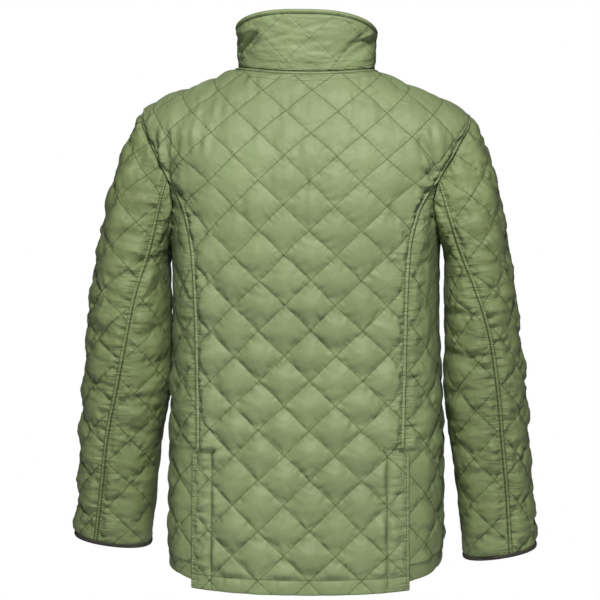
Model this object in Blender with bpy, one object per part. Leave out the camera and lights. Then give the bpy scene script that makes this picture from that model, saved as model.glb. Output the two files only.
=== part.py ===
"""Quilted jacket, hollow and filled out: each piece that a maker cuts is a wall on one shared form.

Metres, Z up, the front towards -Y and the wearer's left towards +X. The origin is the centre of
the neck opening, level with the points where the collar meets the shoulder seams. A "drop" is a
distance down from there; an "angle" goes round the body from the wearer's left (0) through the
back (90) to the right (180) and the front (270 or -90)."""

import math
from collections import namedtuple

import bpy
import numpy as np

# ---- cloth ----
WALL = 0.003  # quilted cloth, pressed at its seams
SEAM_GAP = 0.0003  # between two pieces at a seam
TUCK = 0.0038  # how far a lapped edge lies in under the one that covers it

# ---- body form: a level line of the garment per row ----
Level = namedtuple("Level", "drop back_low front_low half_width back_y front_y fullness")
LEVELS = [
    Level(0.000, 0.010, 0.058, 0.1030, 0.064, 0.078, 2.10),
    Level(0.022, 0.028, 0.068, 0.1510, 0.088, 0.098, 2.05),
    Level(0.044, 0.042, 0.072, 0.2080, 0.104, 0.112, 2.10),
    Level(0.066, 0.050, 0.072, 0.2430, 0.115, 0.122, 2.20),
    Level(0.110, 0.040, 0.055, 0.2420, 0.124, 0.131, 2.40),
    Level(0.150, 0.029, 0.040, 0.2250, 0.129, 0.136, 2.50),
    Level(0.200, 0.016, 0.022, 0.2065, 0.132, 0.139, 2.65),
    Level(0.250, 0.010, 0.012, 0.2010, 0.131, 0.140, 2.80),
    Level(0.330, 0.004, 0.004, 0.1985, 0.126, 0.137, 2.90),
    Level(0.420, 0.000, 0.000, 0.1990, 0.121, 0.134, 2.90),
    Level(0.520, 0.000, 0.000, 0.2015, 0.124, 0.136, 2.90),
    Level(0.620, 0.000, 0.000, 0.2030, 0.131, 0.140, 2.90),
    Level(0.720, 0.000, 0.000, 0.2035, 0.136, 0.144, 2.90),
    Level(0.790, 0.000, 0.000, 0.2035, 0.138, 0.146, 2.90),
]

# ---- where the pieces meet ----
SHOULDER_SEAM = (-8.0, -4.6)  # angles at the neck and at the shoulder point
SHOULDER_DROP = 0.066
SHOULDER_LEAN = 0.022  # rise per metre towards the wearer's left
LEAN_FADE = (-0.30, -0.10)  # heights between which the lean comes in
Mark = namedtuple("Mark", "angle drop")
ARMHOLE_BACK = [
    Mark(-4.6, 0.0660),
    Mark(3.5, 0.0675),
    Mark(11.0, 0.0760),
    Mark(17.5, 0.0920),
    Mark(22.0, 0.1150),
    Mark(25.5, 0.1400),
    Mark(27.5, 0.1640),
]
ARMHOLE_UNDER = [
    Mark(27.5, 0.1640),
    Mark(25.5, 0.1900),
    Mark(19.5, 0.2180),
    Mark(10.0, 0.2420),
    Mark(0.0, 0.2500),
    Mark(-10.0, 0.2420),
    Mark(-20.0, 0.2180),
    Mark(-26.5, 0.1900),
    Mark(-29.0, 0.1640),
]
ARMHOLE_FRONT = [
    Mark(-29.0, 0.1640),
    Mark(-30.0, 0.1380),
    Mark(-28.0, 0.1100),
    Mark(-21.0, 0.0850),
    Mark(-12.0, 0.0710),
    Mark(-4.6, 0.0660),
]
SeamMark = namedtuple("SeamMark", "drop half_width")
SIDE_SEAM = [
    SeamMark(0.164, 0.1975),
    SeamMark(0.185, 0.1850),
    SeamMark(0.205, 0.1755),
    SeamMark(0.230, 0.1685),
    SeamMark(0.260, 0.1625),
    SeamMark(0.290, 0.1598),
    SeamMark(0.350, 0.1568),
    SeamMark(0.450, 0.1545),
    SeamMark(0.560, 0.1523),
    SeamMark(0.790, 0.1523),
]
VENT_DROP = 0.560
VENT_EDGE = 0.1590  # half width of the back panel beside the open vents
UNDERLAP = 0.124  # half width at which a front's lap under the back panel ends
VENT_EASE = 0.006  # length in which the lapped edges part at the top of a vent
BACK_HEM = (0.7710, 0.7655)  # drops at the centre back and at the vent edge
HemMark = namedtuple("HemMark", "share drop")
FRONT_HEM = [  # share of the way from the lap under the back panel to the front edge
    HemMark(0.00, 0.7560),
    HemMark(0.16, 0.7380),
    HemMark(0.30, 0.7200),
    HemMark(1.00, 0.7350),
]
OVERLAP = 0.020  # each front passes the centre line by this much
LAP_CLEAR = 0.004  # a lapped edge is fully tucked this far beyond the edge that covers it
LAP_RAMP = (0.026, 0.048)  # distances from the centre line between which the under front sinks
LAP_COLUMN = 0.045  # a column of points stands this far out, so that the wall follows the ramp
VENT_RAMP = (0.160, 0.186)  # half widths between which a front sinks in under the back panel

# ---- stand collar, a level line per row, from the neck seam up ----
Ring = namedtuple("Ring", "share side back front half_width back_y front_y fullness")
COLLAR = [
    Ring(0.00, 0.0000, -0.010, -0.058, 0.1030, 0.064, 0.078, 2.10),
    Ring(0.30, 0.0165, 0.018, -0.033, 0.1035, 0.0645, 0.080, 2.15),
    Ring(0.65, 0.0370, 0.051, -0.004, 0.1055, 0.0640, 0.082, 2.40),
    Ring(1.00, 0.0585, 0.082, 0.022, 0.1080, 0.0620, 0.083, 2.75),
]
COLLAR_RADIUS = 0.085
COLLAR_HEIGHT = 0.085
Fold = namedtuple("Fold", "angle_from share_from angle_to share_to depth reach")
COLLAR_FOLDS = [
    Fold(62.0, 0.80, 14.0, 0.38, 0.0080, 0.012),
    Fold(40.0, 0.60, 8.0, 0.62, 0.0050, 0.010),
    Fold(172.0, 0.72, 130.0, 0.28, 0.0060, 0.011),
]

# ---- sleeves: rings from the upper arm to the cuff; out is from the centre of the body ----
Arm = namedtuple("Arm", "drop out back half_width half_depth back_seam front_seam")
SLEEVE_LEFT = [
    Arm(0.290, 0.2625, 0.004, 0.0520, 0.0770, 122, 240),
    Arm(0.340, 0.2675, 0.006, 0.0565, 0.0740, 106, 252),
    Arm(0.400, 0.2705, 0.004, 0.0600, 0.0705, 95, 263),
    Arm(0.470, 0.2740, -0.002, 0.0625, 0.0665, 87, 271),
    Arm(0.550, 0.2820, -0.012, 0.0610, 0.0610, 81, 277),
    Arm(0.620, 0.2890, -0.022, 0.0590, 0.0565, 78, 280),
    Arm(0.708, 0.2995, -0.036, 0.0585, 0.0510, 75, 283),
]
SLEEVE_RIGHT = [
    Arm(0.290, 0.2545, 0.004, 0.0480, 0.0770, 112, 240),
    Arm(0.340, 0.2580, 0.006, 0.0520, 0.0740, 93, 252),
    Arm(0.400, 0.2620, 0.004, 0.0550, 0.0705, 80, 263),
    Arm(0.470, 0.2650, -0.002, 0.0600, 0.0665, 74, 271),
    Arm(0.550, 0.2720, -0.012, 0.0575, 0.0610, 73, 277),
    Arm(0.620, 0.2795, -0.022, 0.0560, 0.0565, 74, 280),
    Arm(0.722, 0.2885, -0.036, 0.0550, 0.0510, 77, 283),
]
SLEEVE_FULLNESS = 2.2
CAP_LEAVES_UNDER = 0.16  # outward part of the direction in which the sleeve leaves the armhole
CAP_LEAVES_TOP = 0.52
CAP_SWELL = 0.34  # backward and forward part of it
CUFF_SLANT_FROM = 0.15  # length over which a cuff's slant comes in
CUFF_SLANT = (1.0, 4.0)  # degrees by which each cuff's inner side is cut lower
BINDING_HEIGHT = 0.0055
BINDING_WALL = 0.0009
BINDING_GAP = 0.0003

# ---- press studs on the lapped front edge ----
STUD_DROPS = (0.095, 0.215, 0.335, 0.455, 0.575, 0.685)
STUD_RADIUS = 0.0075
STUD_HEIGHT = 0.0026
STUD_GAP = 0.0004

# ---- how finely each piece is divided ----
SHOULDER_ROWS = 5
BACK_ARMHOLE_ROWS = 5
UNDER_COLUMNS = 7
FRONT_ARMHOLE_ROWS = 4
SEAM_ROWS = 12
VENT_ROWS = 6
BACK_COLUMNS = 14
FRONT_COLUMNS = 6
CAP_ROWS = 6
ARM_ROWS = 12
COLLAR_ROWS = 5
COLLAR_COLUMNS = 26
STUD_SIDES = 20
COLUMNS_SETTLE = 0.45  # share of the side-back seam in which the side columns become even

JACKET = "quilted_jacket"
GREEN = (0.27, 0.36, 0.17, 1.0)
BROWN_GREY = (0.05, 0.045, 0.04, 1.0)


def clear_scene():
    for obj in list(bpy.data.objects):
        bpy.data.objects.remove(obj)


def soft_material(name, colour, roughness):
    made = bpy.data.materials.new(name)
    made.use_nodes = True
    shader = made.node_tree.nodes["Principled BSDF"]
    shader.inputs["Base Color"].default_value = colour
    shader.inputs["Roughness"].default_value = roughness
    made.diffuse_color = colour
    return made


def smooth(knots, values, at):
    """A smooth curve through the values, read at each place asked for."""
    knots = np.asarray(knots, float)
    values = np.asarray(values, float)
    spans = np.diff(knots)
    rises = np.diff(values) / spans
    slopes = np.empty_like(values)
    slopes[0] = rises[0]
    slopes[-1] = rises[-1]
    slopes[1:-1] = (rises[:-1] * spans[1:] + rises[1:] * spans[:-1]) / (spans[:-1] + spans[1:])
    at = np.clip(np.asarray(at, float), knots[0], knots[-1])
    row = np.clip(np.searchsorted(knots, at, side="right") - 1, 0, len(spans) - 1)
    part = (at - knots[row]) / spans[row]
    start = values[row] * (1 + 2 * part) + slopes[row] * spans[row] * part
    end = values[row + 1] * (3 - 2 * part) - slopes[row + 1] * spans[row] * (1 - part)
    return start * (1 - part) ** 2 + end * part**2


def read(table, name, at):
    return smooth([row[0] for row in table], [getattr(row, name) for row in table], at)


def rounded(angle, fullness):
    """The two coordinates, from -1 to 1, of a rounded outline between an ellipse and a box."""
    turn = np.radians(angle)
    power = 2 / fullness
    across = np.sign(np.cos(turn)) * np.abs(np.cos(turn)) ** power
    deep = np.sign(np.sin(turn)) * np.abs(np.sin(turn)) ** power
    return across, deep


def body(angle, drop):
    """A point of the body form, on the outside of the cloth."""
    angle, drop = np.broadcast_arrays(np.asarray(angle, float), np.asarray(drop, float))
    across, deep = rounded(angle, read(LEVELS, "fullness", drop))
    is_back = deep > 0
    reach = np.where(is_back, read(LEVELS, "back_y", drop), read(LEVELS, "front_y", drop))
    low = np.where(is_back, read(LEVELS, "back_low", drop), read(LEVELS, "front_low", drop))
    x = read(LEVELS, "half_width", drop) * across
    return np.stack([x, reach * deep, -drop - low * deep**2], -1)


def stand(angle, share):
    """A point of the collar form, before its folds; share is 0 at the neck seam, 1 at the rim."""
    angle, share = np.broadcast_arrays(np.asarray(angle, float), np.asarray(share, float))
    across, deep = rounded(angle, read(COLLAR, "fullness", share))
    is_back = deep > 0
    reach = np.where(is_back, read(COLLAR, "back_y", share), read(COLLAR, "front_y", share))
    side = read(COLLAR, "side", share)
    end = np.where(is_back, read(COLLAR, "back", share), read(COLLAR, "front", share))
    x = read(COLLAR, "half_width", share) * across
    return np.stack([x, reach * deep, side + (end - side) * deep**2], -1)


def unit(vectors):
    return vectors / np.maximum(np.linalg.norm(vectors, axis=-1, keepdims=True), 1e-12)


def outward(form, angle, level):
    """The direction out of the cloth at each place on a form."""
    turn = 0.5
    step = 0.002
    round_it = form(angle + turn, level) - form(angle - turn, level)
    up_it = form(angle, level - step) - form(angle, level + step)
    if form is stand:
        up_it = -up_it
    return unit(np.cross(round_it, up_it))


def angle_at(x, drop, at_back):
    """The angle round the body at which a level line has this x."""
    share = np.clip(np.abs(x) / read(LEVELS, "half_width", drop), 0, 1)
    turn = np.degrees(np.arccos(share ** (read(LEVELS, "fullness", drop) / 2)))
    turn = np.where(np.asarray(x) < 0, 180 - turn, turn)
    return turn if at_back else -turn


def evenly(first, last, level, count, form=body):
    """Angles that share out a level line from first to last in equal lengths."""
    fine = np.linspace(first, last, 241)
    points = form(fine, level)
    run = np.concatenate([[0.0], np.cumsum(np.linalg.norm(np.diff(points, axis=0), axis=1))])
    return np.interp(np.linspace(0, run[-1], count + 1), run, fine)


def along_marks(marks, count):
    """Angles and drops at equal lengths along a run of marks on the body."""
    knots = np.arange(len(marks), dtype=float)
    fine = np.linspace(0, knots[-1], 40 * len(marks))
    angles = smooth(knots, [mark.angle for mark in marks], fine)
    drops = smooth(knots, [mark.drop for mark in marks], fine)
    points = body(angles, drops)
    run = np.concatenate([[0.0], np.cumsum(np.linalg.norm(np.diff(points, axis=0), axis=1))])
    at = np.interp(np.linspace(0, run[-1], count + 1), run, fine)
    return smooth(knots, [m.angle for m in marks], at), smooth(knots, [m.drop for m in marks], at)


def shoulder_angles(drops):
    return np.interp(drops, [0, SHOULDER_DROP], SHOULDER_SEAM)


def side_seam_angle(drop):
    return angle_at(read(SIDE_SEAM, "half_width", drop), drop, True)


def shoulder_drops():
    """Level lines between the neck and the shoulder point, evenly down the shoulder seam."""
    fine = np.linspace(0, SHOULDER_DROP, 81)
    points = body(shoulder_angles(fine), fine)
    run = np.concatenate([[0.0], np.cumsum(np.linalg.norm(np.diff(points, axis=0), axis=1))])
    return np.interp(np.linspace(0, run[-1], SHOULDER_ROWS + 1), run, fine)


def ease(share):
    share = np.clip(share, 0, 1)
    return share * share * (3 - 2 * share)


def ramp(at, run):
    """1 up to the first place of a run and 0 from the second."""
    return ease((run[1] - at) / (run[1] - run[0]))


def wall_object(name, outer, directions, present, material):
    """A closed wall: the outer grid, the same grid moved in by the wall, and the rims between.

    present says, for each quad of the grid, whether the piece has cloth there."""
    inner = outer - directions * WALL
    rows, columns = outer.shape[:2]
    points = np.concatenate([outer.reshape(-1, 3), inner.reshape(-1, 3)])
    layer = rows * columns
    faces = []
    edges = {}
    for i in range(rows - 1):
        for j in range(columns - 1):
            if not present[i, j]:
                continue
            ring = [i * columns + j, (i + 1) * columns + j]
            ring += [(i + 1) * columns + j + 1, i * columns + j + 1]
            faces.append(ring)
            faces.append([layer + corner for corner in reversed(ring)])
            for start, end in zip(ring, ring[1:] + ring[:1]):
                edges[(start, end)] = edges.get((start, end), 0) + 1
    for start, end in edges:
        if (end, start) in edges:
            continue
        # Both pieces at a seam split their rims along the same diagonal, so that they never cross.
        if start < end:
            faces.append([end, start, layer + end])
            faces.append([start, layer + start, layer + end])
        else:
            faces.append([end, start, layer + start])
            faces.append([end, layer + start, layer + end])
    used = sorted({corner for face in faces for corner in face})
    place = {corner: index for index, corner in enumerate(used)}
    return solid(name, points[used], [[place[c] for c in face] for face in faces], material)


def leaned(points):
    """The shoulders tip a little, down towards the wearer's right; it fades out below the chest."""
    tipped = np.array(points, float)
    share = ease((tipped[:, 2] - LEAN_FADE[0]) / (LEAN_FADE[1] - LEAN_FADE[0]))
    tipped[:, 2] += SHOULDER_LEAN * tipped[:, 0] * share
    return tipped


def solid(name, points, faces, material):
    points = leaned(points)
    mesh = bpy.data.meshes.new(name)
    mesh.from_pydata([tuple(point) for point in points], [], faces)
    mesh.update()
    mesh.materials.append(material)
    made = bpy.data.objects.new(name, mesh)
    bpy.data.collections[JACKET].objects.link(made)
    return made


def part_edges(grid, present):
    """Draws every edge of a piece back from its seam line by half the gap."""
    moved = grid.copy()
    rows, columns = grid.shape[:2]
    for i in range(rows):
        for j in range(columns):
            pull = np.zeros(3)
            for side_i, side_j, quads in neighbours(i, j):
                inside = [0 <= a < rows - 1 and 0 <= b < columns - 1 for a, b in quads]
                if not any(ok and present[quad] for ok, quad in zip(inside, quads)):
                    opposite = (2 * i - side_i, 2 * j - side_j)
                    if 0 <= opposite[0] < rows and 0 <= opposite[1] < columns:
                        pull += unit(grid[opposite] - grid[i, j])
            moved[i, j] += pull * SEAM_GAP / 2
    return moved


def neighbours(i, j):
    """Each grid neighbour of a point, with the two quads beside the edge between them."""
    yield i - 1, j, ((i - 1, j - 1), (i - 1, j))
    yield i + 1, j, ((i, j - 1), (i, j))
    yield i, j - 1, ((i - 1, j - 1), (i, j - 1))
    yield i, j + 1, ((i - 1, j), (i, j))


def mirrored(grid):
    return grid * np.array([-1.0, 1.0, 1.0])


def back_panel(material, armhole_directions):
    """One piece: shoulders, armholes and the side-back seams bound it; the vents free its corners."""
    shoulder = shoulder_drops()
    arm_angles, arm_drops = along_marks(ARMHOLE_BACK, BACK_ARMHOLE_ROWS)
    seam_drops = np.linspace(arm_drops[-1], VENT_DROP, SEAM_ROWS + 1)
    hem_shares = np.linspace(0, 1, VENT_ROWS + 1)[1:]
    drops = np.concatenate([shoulder, arm_drops[1:], seam_drops[1:], [VENT_DROP + VENT_EASE]])
    edges = np.concatenate([shoulder_angles(shoulder), arm_angles[1:], side_seam_angle(seam_drops[1:])])
    edges = np.append(edges, side_seam_angle(VENT_DROP + VENT_EASE))
    angles = [evenly(e, 180 - e, d, BACK_COLUMNS) for e, d in zip(edges, drops)]
    levels = [np.full(BACK_COLUMNS + 1, d) for d in drops]
    across = np.abs(np.linspace(-1, 1, BACK_COLUMNS + 1))
    hem = BACK_HEM[0] + (BACK_HEM[1] - BACK_HEM[0]) * across**2
    for share in hem_shares:
        level = (VENT_DROP + VENT_EASE) * (1 - share) + hem * share
        edge = float(angle_at(VENT_EDGE, level[0], True))
        angles.append(evenly(edge, 180 - edge, level[0], BACK_COLUMNS))
        levels.append(level)
    angles = np.array(angles)
    levels = np.array(levels)
    outer = body(angles, levels)
    directions = outward(body, angles, levels)
    present = np.ones((len(levels) - 1, BACK_COLUMNS), bool)
    first = SHOULDER_ROWS
    for row in range(BACK_ARMHOLE_ROWS + 1):
        directions[first + row, 0] = armhole_directions[row]
        directions[first + row, -1] = mirrored(armhole_directions[row])
    outer = part_edges(outer, present)
    return wall_object("back_panel", outer, directions, present, material)


def front_grid(lap):
    """Angles, drops and presence of a front, drawn on the wearer's left side.

    Columns run from the lap under the back panel, over the side, to the lapped front edge. Rows run
    from the neck seam down to the hem; the side columns begin at the underarm."""
    shoulder = shoulder_drops()
    arm_angles, arm_drops = along_marks(ARMHOLE_FRONT, FRONT_ARMHOLE_ROWS)
    arm_angles = arm_angles[::-1]
    arm_drops = arm_drops[::-1]
    under_angles, under_drops = along_marks(ARMHOLE_UNDER, UNDER_COLUMNS)
    top_rows = SHOULDER_ROWS + FRONT_ARMHOLE_ROWS
    side = UNDER_COLUMNS + 1
    columns = side + FRONT_COLUMNS + len(LAP_RAMP)
    rows = top_rows + SEAM_ROWS + 1 + VENT_ROWS
    angles = np.zeros((rows + 1, columns + 1))
    drops = np.zeros((rows + 1, columns + 1))
    edges = np.concatenate([shoulder_angles(shoulder), arm_angles[1:]])
    tops = np.concatenate([shoulder, arm_drops[1:]])
    near_edge = [lap + LAP_CLEAR, LAP_COLUMN]
    for row, (edge, drop) in enumerate(zip(edges, tops)):
        angles[row, side:] = front_columns(edge, drop, near_edge, lap)
        drops[row] = drop
        angles[row, :side] = edge
    notch = arm_angles[-1]
    starts = np.concatenate([under_drops, np.full(columns - side, under_drops[-1])])
    for row in range(top_rows + 1, rows + 1):
        below = row - top_rows
        if below <= SEAM_ROWS:
            level = starts + (VENT_DROP - starts) * below / SEAM_ROWS
        elif below == SEAM_ROWS + 1:
            level = np.full(columns, VENT_DROP + VENT_EASE)
        else:
            part = (below - SEAM_ROWS - 1) / VENT_ROWS
            places = np.arange(columns) / (columns - 1)
            hem = read(FRONT_HEM, "drop", places)
            level = (VENT_DROP + VENT_EASE) * (1 - part) + hem * part
        drops[row, 1:] = level
        drops[row, 0] = level[0]
        seam = float(side_seam_angle(level[0]))
        settled = ease(below / SEAM_ROWS / COLUMNS_SETTLE)
        even = evenly(seam, notch, level[0], UNDER_COLUMNS)
        angles[row, 1 : side + 1] = under_angles * (1 - settled) + even * settled
        angles[row, 1] = seam
        angles[row, side:] = front_columns(notch, level[-1], near_edge, lap)
        angles[row, 0] = float(angle_at(UNDERLAP, level[0], True))
    angles[top_rows, 1 : side + 1] = under_angles
    drops[top_rows, 1 : side + 1] = under_drops
    present = np.ones((rows, columns), bool)
    present[:top_rows, :side] = False
    present[: top_rows + SEAM_ROWS + 1, 0] = False
    return angles, drops, present


def front_columns(edge, drop, near_edge, lap):
    """Angles of the front columns: even to near the front edge, then close enough for the lap."""
    last = [float(angle_at(x, drop, False)) for x in (near_edge[1], near_edge[0], -lap)]
    even = evenly(edge, last[0], drop, FRONT_COLUMNS)
    return np.concatenate([even, last[1:]])


def front(name, side, material, armhole_directions):
    """A front, from the side-back seam to its edge; the right one passes under the left."""
    angles, drops, present = front_grid(OVERLAP)
    outer = body(angles, drops)
    directions = outward(body, angles, drops)
    top_rows = SHOULDER_ROWS + FRONT_ARMHOLE_ROWS
    first_front = UNDER_COLUMNS + 1
    for row in range(FRONT_ARMHOLE_ROWS + 1):
        directions[SHOULDER_ROWS + row, first_front] = armhole_directions["front"][row]
    for column in range(UNDER_COLUMNS + 1):
        directions[top_rows, 1 + column] = armhole_directions["under"][column]
    tuck = ramp(outer[..., 0], VENT_RAMP) * (outer[..., 1] > 0) * (drops > VENT_DROP)
    if side < 0:
        tuck = tuck + ramp(outer[..., 0], LAP_RAMP) * (outer[..., 1] < 0)
    outer = part_edges(outer, present) - directions * (tuck * TUCK)[..., None]
    if side < 0:
        outer = mirrored(outer)
        directions = mirrored(directions)
        return wall_object(name, outer, directions, present, material)
    return wall_object(name, outer[:, ::-1], directions[:, ::-1], present[:, ::-1], material)


def armhole_loop():
    """Angles and drops of the whole armhole seam, from the shoulder point through the back."""
    runs = [
        along_marks(ARMHOLE_BACK, BACK_ARMHOLE_ROWS),
        along_marks(ARMHOLE_UNDER, UNDER_COLUMNS),
        along_marks(ARMHOLE_FRONT, FRONT_ARMHOLE_ROWS),
    ]
    angles = np.concatenate([run[0][:-1] for run in runs])
    drops = np.concatenate([run[1][:-1] for run in runs])
    return angles, drops


def sleeve_rings(table, slant):
    """Points of a sleeve, on the wearer's left: rows from the armhole to the cuff, columns round it."""
    loop_angles, loop_drops = armhole_loop()
    start = body(loop_angles, loop_drops)
    count = len(start)
    star = BACK_ARMHOLE_ROWS
    notch = star + UNDER_COLUMNS
    first = table[0].drop
    last = table[-1].drop
    drops = np.linspace(first, last, ARM_ROWS + 1)
    rings = []
    for drop in drops:
        centre = np.array([read(table, "out", drop), read(table, "back", drop), -drop])
        step = 0.004
        ahead = np.array([read(table, "out", drop + step), read(table, "back", drop + step), 0])
        behind = np.array([read(table, "out", drop - step), read(table, "back", drop - step), 0])
        lean = (ahead - behind) / max(min(drop + step, last) - max(drop - step, first), step)
        down = unit(np.array([lean[0], lean[1], -1.0]))
        tilt = math.radians(slant) * ease((drop - last + CUFF_SLANT_FROM) / CUFF_SLANT_FROM)
        out = unit(np.array([1.0, 0, 0]) - down[0] * down)
        back = np.cross(out, down)
        out = out * math.cos(tilt) + down * -math.sin(tilt)
        turns = np.interp(
            np.arange(count + 1),
            [0, star, notch, count],
            [0, read(table, "back_seam", drop), read(table, "front_seam", drop), 360],
        )[:-1]
        across, deep = rounded(turns, SLEEVE_FULLNESS)
        across = across[:, None] * read(table, "half_width", drop) * out
        deep = deep[:, None] * read(table, "half_depth", drop) * back
        rings.append(centre + across + deep)
    rings = np.array(rings)
    turn = 2 * np.pi * np.arange(count) / count
    outness = CAP_LEAVES_UNDER + (CAP_LEAVES_TOP - CAP_LEAVES_UNDER) * (1 + np.cos(turn)) / 2
    backness = CAP_SWELL * np.sin(turn)
    leave = unit(np.stack([outness, backness, -np.sqrt(1 - outness**2)], -1))
    arrive = unit(rings[1] - rings[0])
    reach = np.linalg.norm(rings[0] - start, axis=-1, keepdims=True)
    cap = []
    for share in np.linspace(0, 1, CAP_ROWS + 1)[:-1]:
        stay = (1 + 2 * share) * (1 - share) ** 2
        go = share**2 * (3 - 2 * share)
        from_start = share * (1 - share) ** 2 * leave * reach
        to_end = share**2 * (share - 1) * arrive * reach
        cap.append(start * stay + rings[0] * go + from_start + to_end)
    return np.concatenate([np.array(cap), rings])


def grid_outward(grid):
    """Directions out of a tube whose rows run down it and whose columns close round it."""
    round_it = np.roll(grid, -1, axis=1) - np.roll(grid, 1, axis=1)
    down_it = np.empty_like(grid)
    down_it[1:-1] = grid[2:] - grid[:-2]
    down_it[0] = grid[1] - grid[0]
    down_it[-1] = grid[-1] - grid[-2]
    return unit(np.cross(down_it, round_it))


def armhole_shares(rings):
    """Directions for the two sides of the armhole seam: mitred where it is a ridge."""
    angles, drops = armhole_loop()
    on_body = outward(body, angles, drops)
    on_sleeve = grid_outward(rings)[0]
    falls = np.sum((rings[1] - rings[0]) * on_body, axis=-1) < 0
    both = unit(on_body + on_sleeve)
    both = both / np.maximum(np.sum(both * on_body, axis=-1, keepdims=True), 0.7)
    body_side = np.where(falls[:, None], both, on_body)
    sleeve_side = np.where(falls[:, None], both, on_sleeve)
    return body_side, sleeve_side


def for_body(body_side):
    """The armhole directions, cut into the runs that the back and the front use."""
    star = BACK_ARMHOLE_ROWS
    notch = star + UNDER_COLUMNS
    closed = np.concatenate([body_side, body_side[:1]])
    return {
        "back": closed[: star + 1],
        "under": closed[star : notch + 1],
        "front": closed[notch:][::-1],
    }


def sleeve_piece(name, side, rings, directions, first, count, material):
    """One of the two pieces of a sleeve: columns first to first + count of its rings."""
    columns = np.arange(first, first + count + 1) % rings.shape[1]
    outer = rings[:, columns]
    ways = directions[:, columns]
    present = np.ones((outer.shape[0] - 1, count), bool)
    outer = part_edges(outer, present)
    if side > 0:
        return wall_object(name, outer, ways, present, material)
    outer = mirrored(outer)[:, ::-1]
    return wall_object(name, outer, mirrored(ways)[:, ::-1], present, material)


def cuff_binding(name, side, rings, directions, material):
    """A bias strip folded over the cuff edge: a channel round it, clear of both its faces."""
    edge = rings[-1]
    out = directions[-1]
    down = unit(rings[-1] - rings[-2])
    lower = BINDING_GAP + BINDING_WALL
    profile = [
        (lower, -lower),
        (lower, BINDING_HEIGHT - lower),
        (BINDING_GAP, BINDING_HEIGHT - lower),
        (BINDING_GAP, -BINDING_GAP),
        (-WALL - BINDING_GAP, -BINDING_GAP),
        (-WALL - BINDING_GAP, BINDING_HEIGHT - lower),
        (-WALL - lower, BINDING_HEIGHT - lower),
        (-WALL - lower, -lower),
    ]
    points = np.array([edge + out * away + down * -up for away, up in profile])
    if side < 0:
        points = mirrored(points)
    sides, count = points.shape[:2]
    faces = []
    for i in range(sides):
        for j in range(count):
            face = [i * count + j, ((i + 1) % sides) * count + j]
            face += [((i + 1) % sides) * count + (j + 1) % count, i * count + (j + 1) % count]
            faces.append(face if side < 0 else face[::-1])
    return solid(name, points.reshape(-1, 3), faces, material)


def collar(material):
    """A band from the left front edge round the back to the right edge, which passes under."""
    near_edge = (-OVERLAP, OVERLAP + LAP_CLEAR, LAP_COLUMN)
    seam = [float(angle_at(x, 0.0, False)) for x in near_edge]
    around = evenly(seam[2], 180 - seam[2], 0.0, COLLAR_COLUMNS, stand)
    ends = [180 - seam[1], 180 - seam[0]]
    angles = np.concatenate([seam[:2], around, ends])
    shares = np.linspace(0, 1, COLLAR_ROWS + 1)
    angles, shares = np.meshgrid(angles, shares)
    outer = stand(angles, shares)
    directions = outward(stand, angles, shares)
    dent = np.zeros(angles.shape)
    for fold in COLLAR_FOLDS:
        dent = np.maximum(dent, fold_depth(fold, angles, shares))
    under = ramp(-outer[..., 0], LAP_RAMP) * (angles > 180)
    present = np.ones((COLLAR_ROWS, angles.shape[1] - 1), bool)
    outer = part_edges(outer, present)
    outer = outer - directions * (dent + under * TUCK)[..., None]
    return wall_object("collar", outer[:, ::-1], directions[:, ::-1], present, material)


def fold_depth(fold, angles, shares):
    """Depth of a soft trough drawn from one place on the collar to another."""
    x = np.radians(angles) * COLLAR_RADIUS
    y = shares * COLLAR_HEIGHT
    start = np.array([math.radians(fold.angle_from) * COLLAR_RADIUS, fold.share_from * COLLAR_HEIGHT])
    end = np.array([math.radians(fold.angle_to) * COLLAR_RADIUS, fold.share_to * COLLAR_HEIGHT])
    run = end - start
    part = ((x - start[0]) * run[0] + (y - start[1]) * run[1]) / (run @ run)
    near = np.clip(part, 0, 1)
    away = np.hypot(x - start[0] - near * run[0], y - start[1] - near * run[1])
    fade = np.sin(np.pi * np.clip(0.15 + 0.7 * near, 0, 1))
    return fold.depth * fade * np.exp(-((away / fold.reach) ** 2))


def stud(name, drop, material):
    """A press stud's cap, low and domed, on the centre line of the lapped edge."""
    angle = float(angle_at(0.0, drop, False))
    out = outward(body, np.array(angle), np.array(drop))
    centre = body(angle, drop) + out * STUD_GAP
    across = np.array([1.0, 0.0, 0.0])
    up = np.cross(out, across)
    profile = [
        (STUD_RADIUS, 0.0),
        (STUD_RADIUS, STUD_HEIGHT * 0.45),
        (STUD_RADIUS * 0.86, STUD_HEIGHT * 0.8),
        (STUD_RADIUS * 0.5, STUD_HEIGHT),
    ]
    points = []
    for radius, height in profile:
        for k in range(STUD_SIDES):
            turn = 2 * math.pi * k / STUD_SIDES
            ring = across * math.cos(turn) + up * math.sin(turn)
            points.append(centre + ring * radius + out * height)
    faces = [list(range(STUD_SIDES))[::-1]]
    for i in range(len(profile) - 1):
        for k in range(STUD_SIDES):
            after = (k + 1) % STUD_SIDES
            row = i * STUD_SIDES
            faces.append([row + k, row + after, row + STUD_SIDES + after, row + STUD_SIDES + k])
    top = (len(profile) - 1) * STUD_SIDES
    faces.append([top + k for k in range(STUD_SIDES)])
    return solid(name, points, faces, material)


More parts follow.
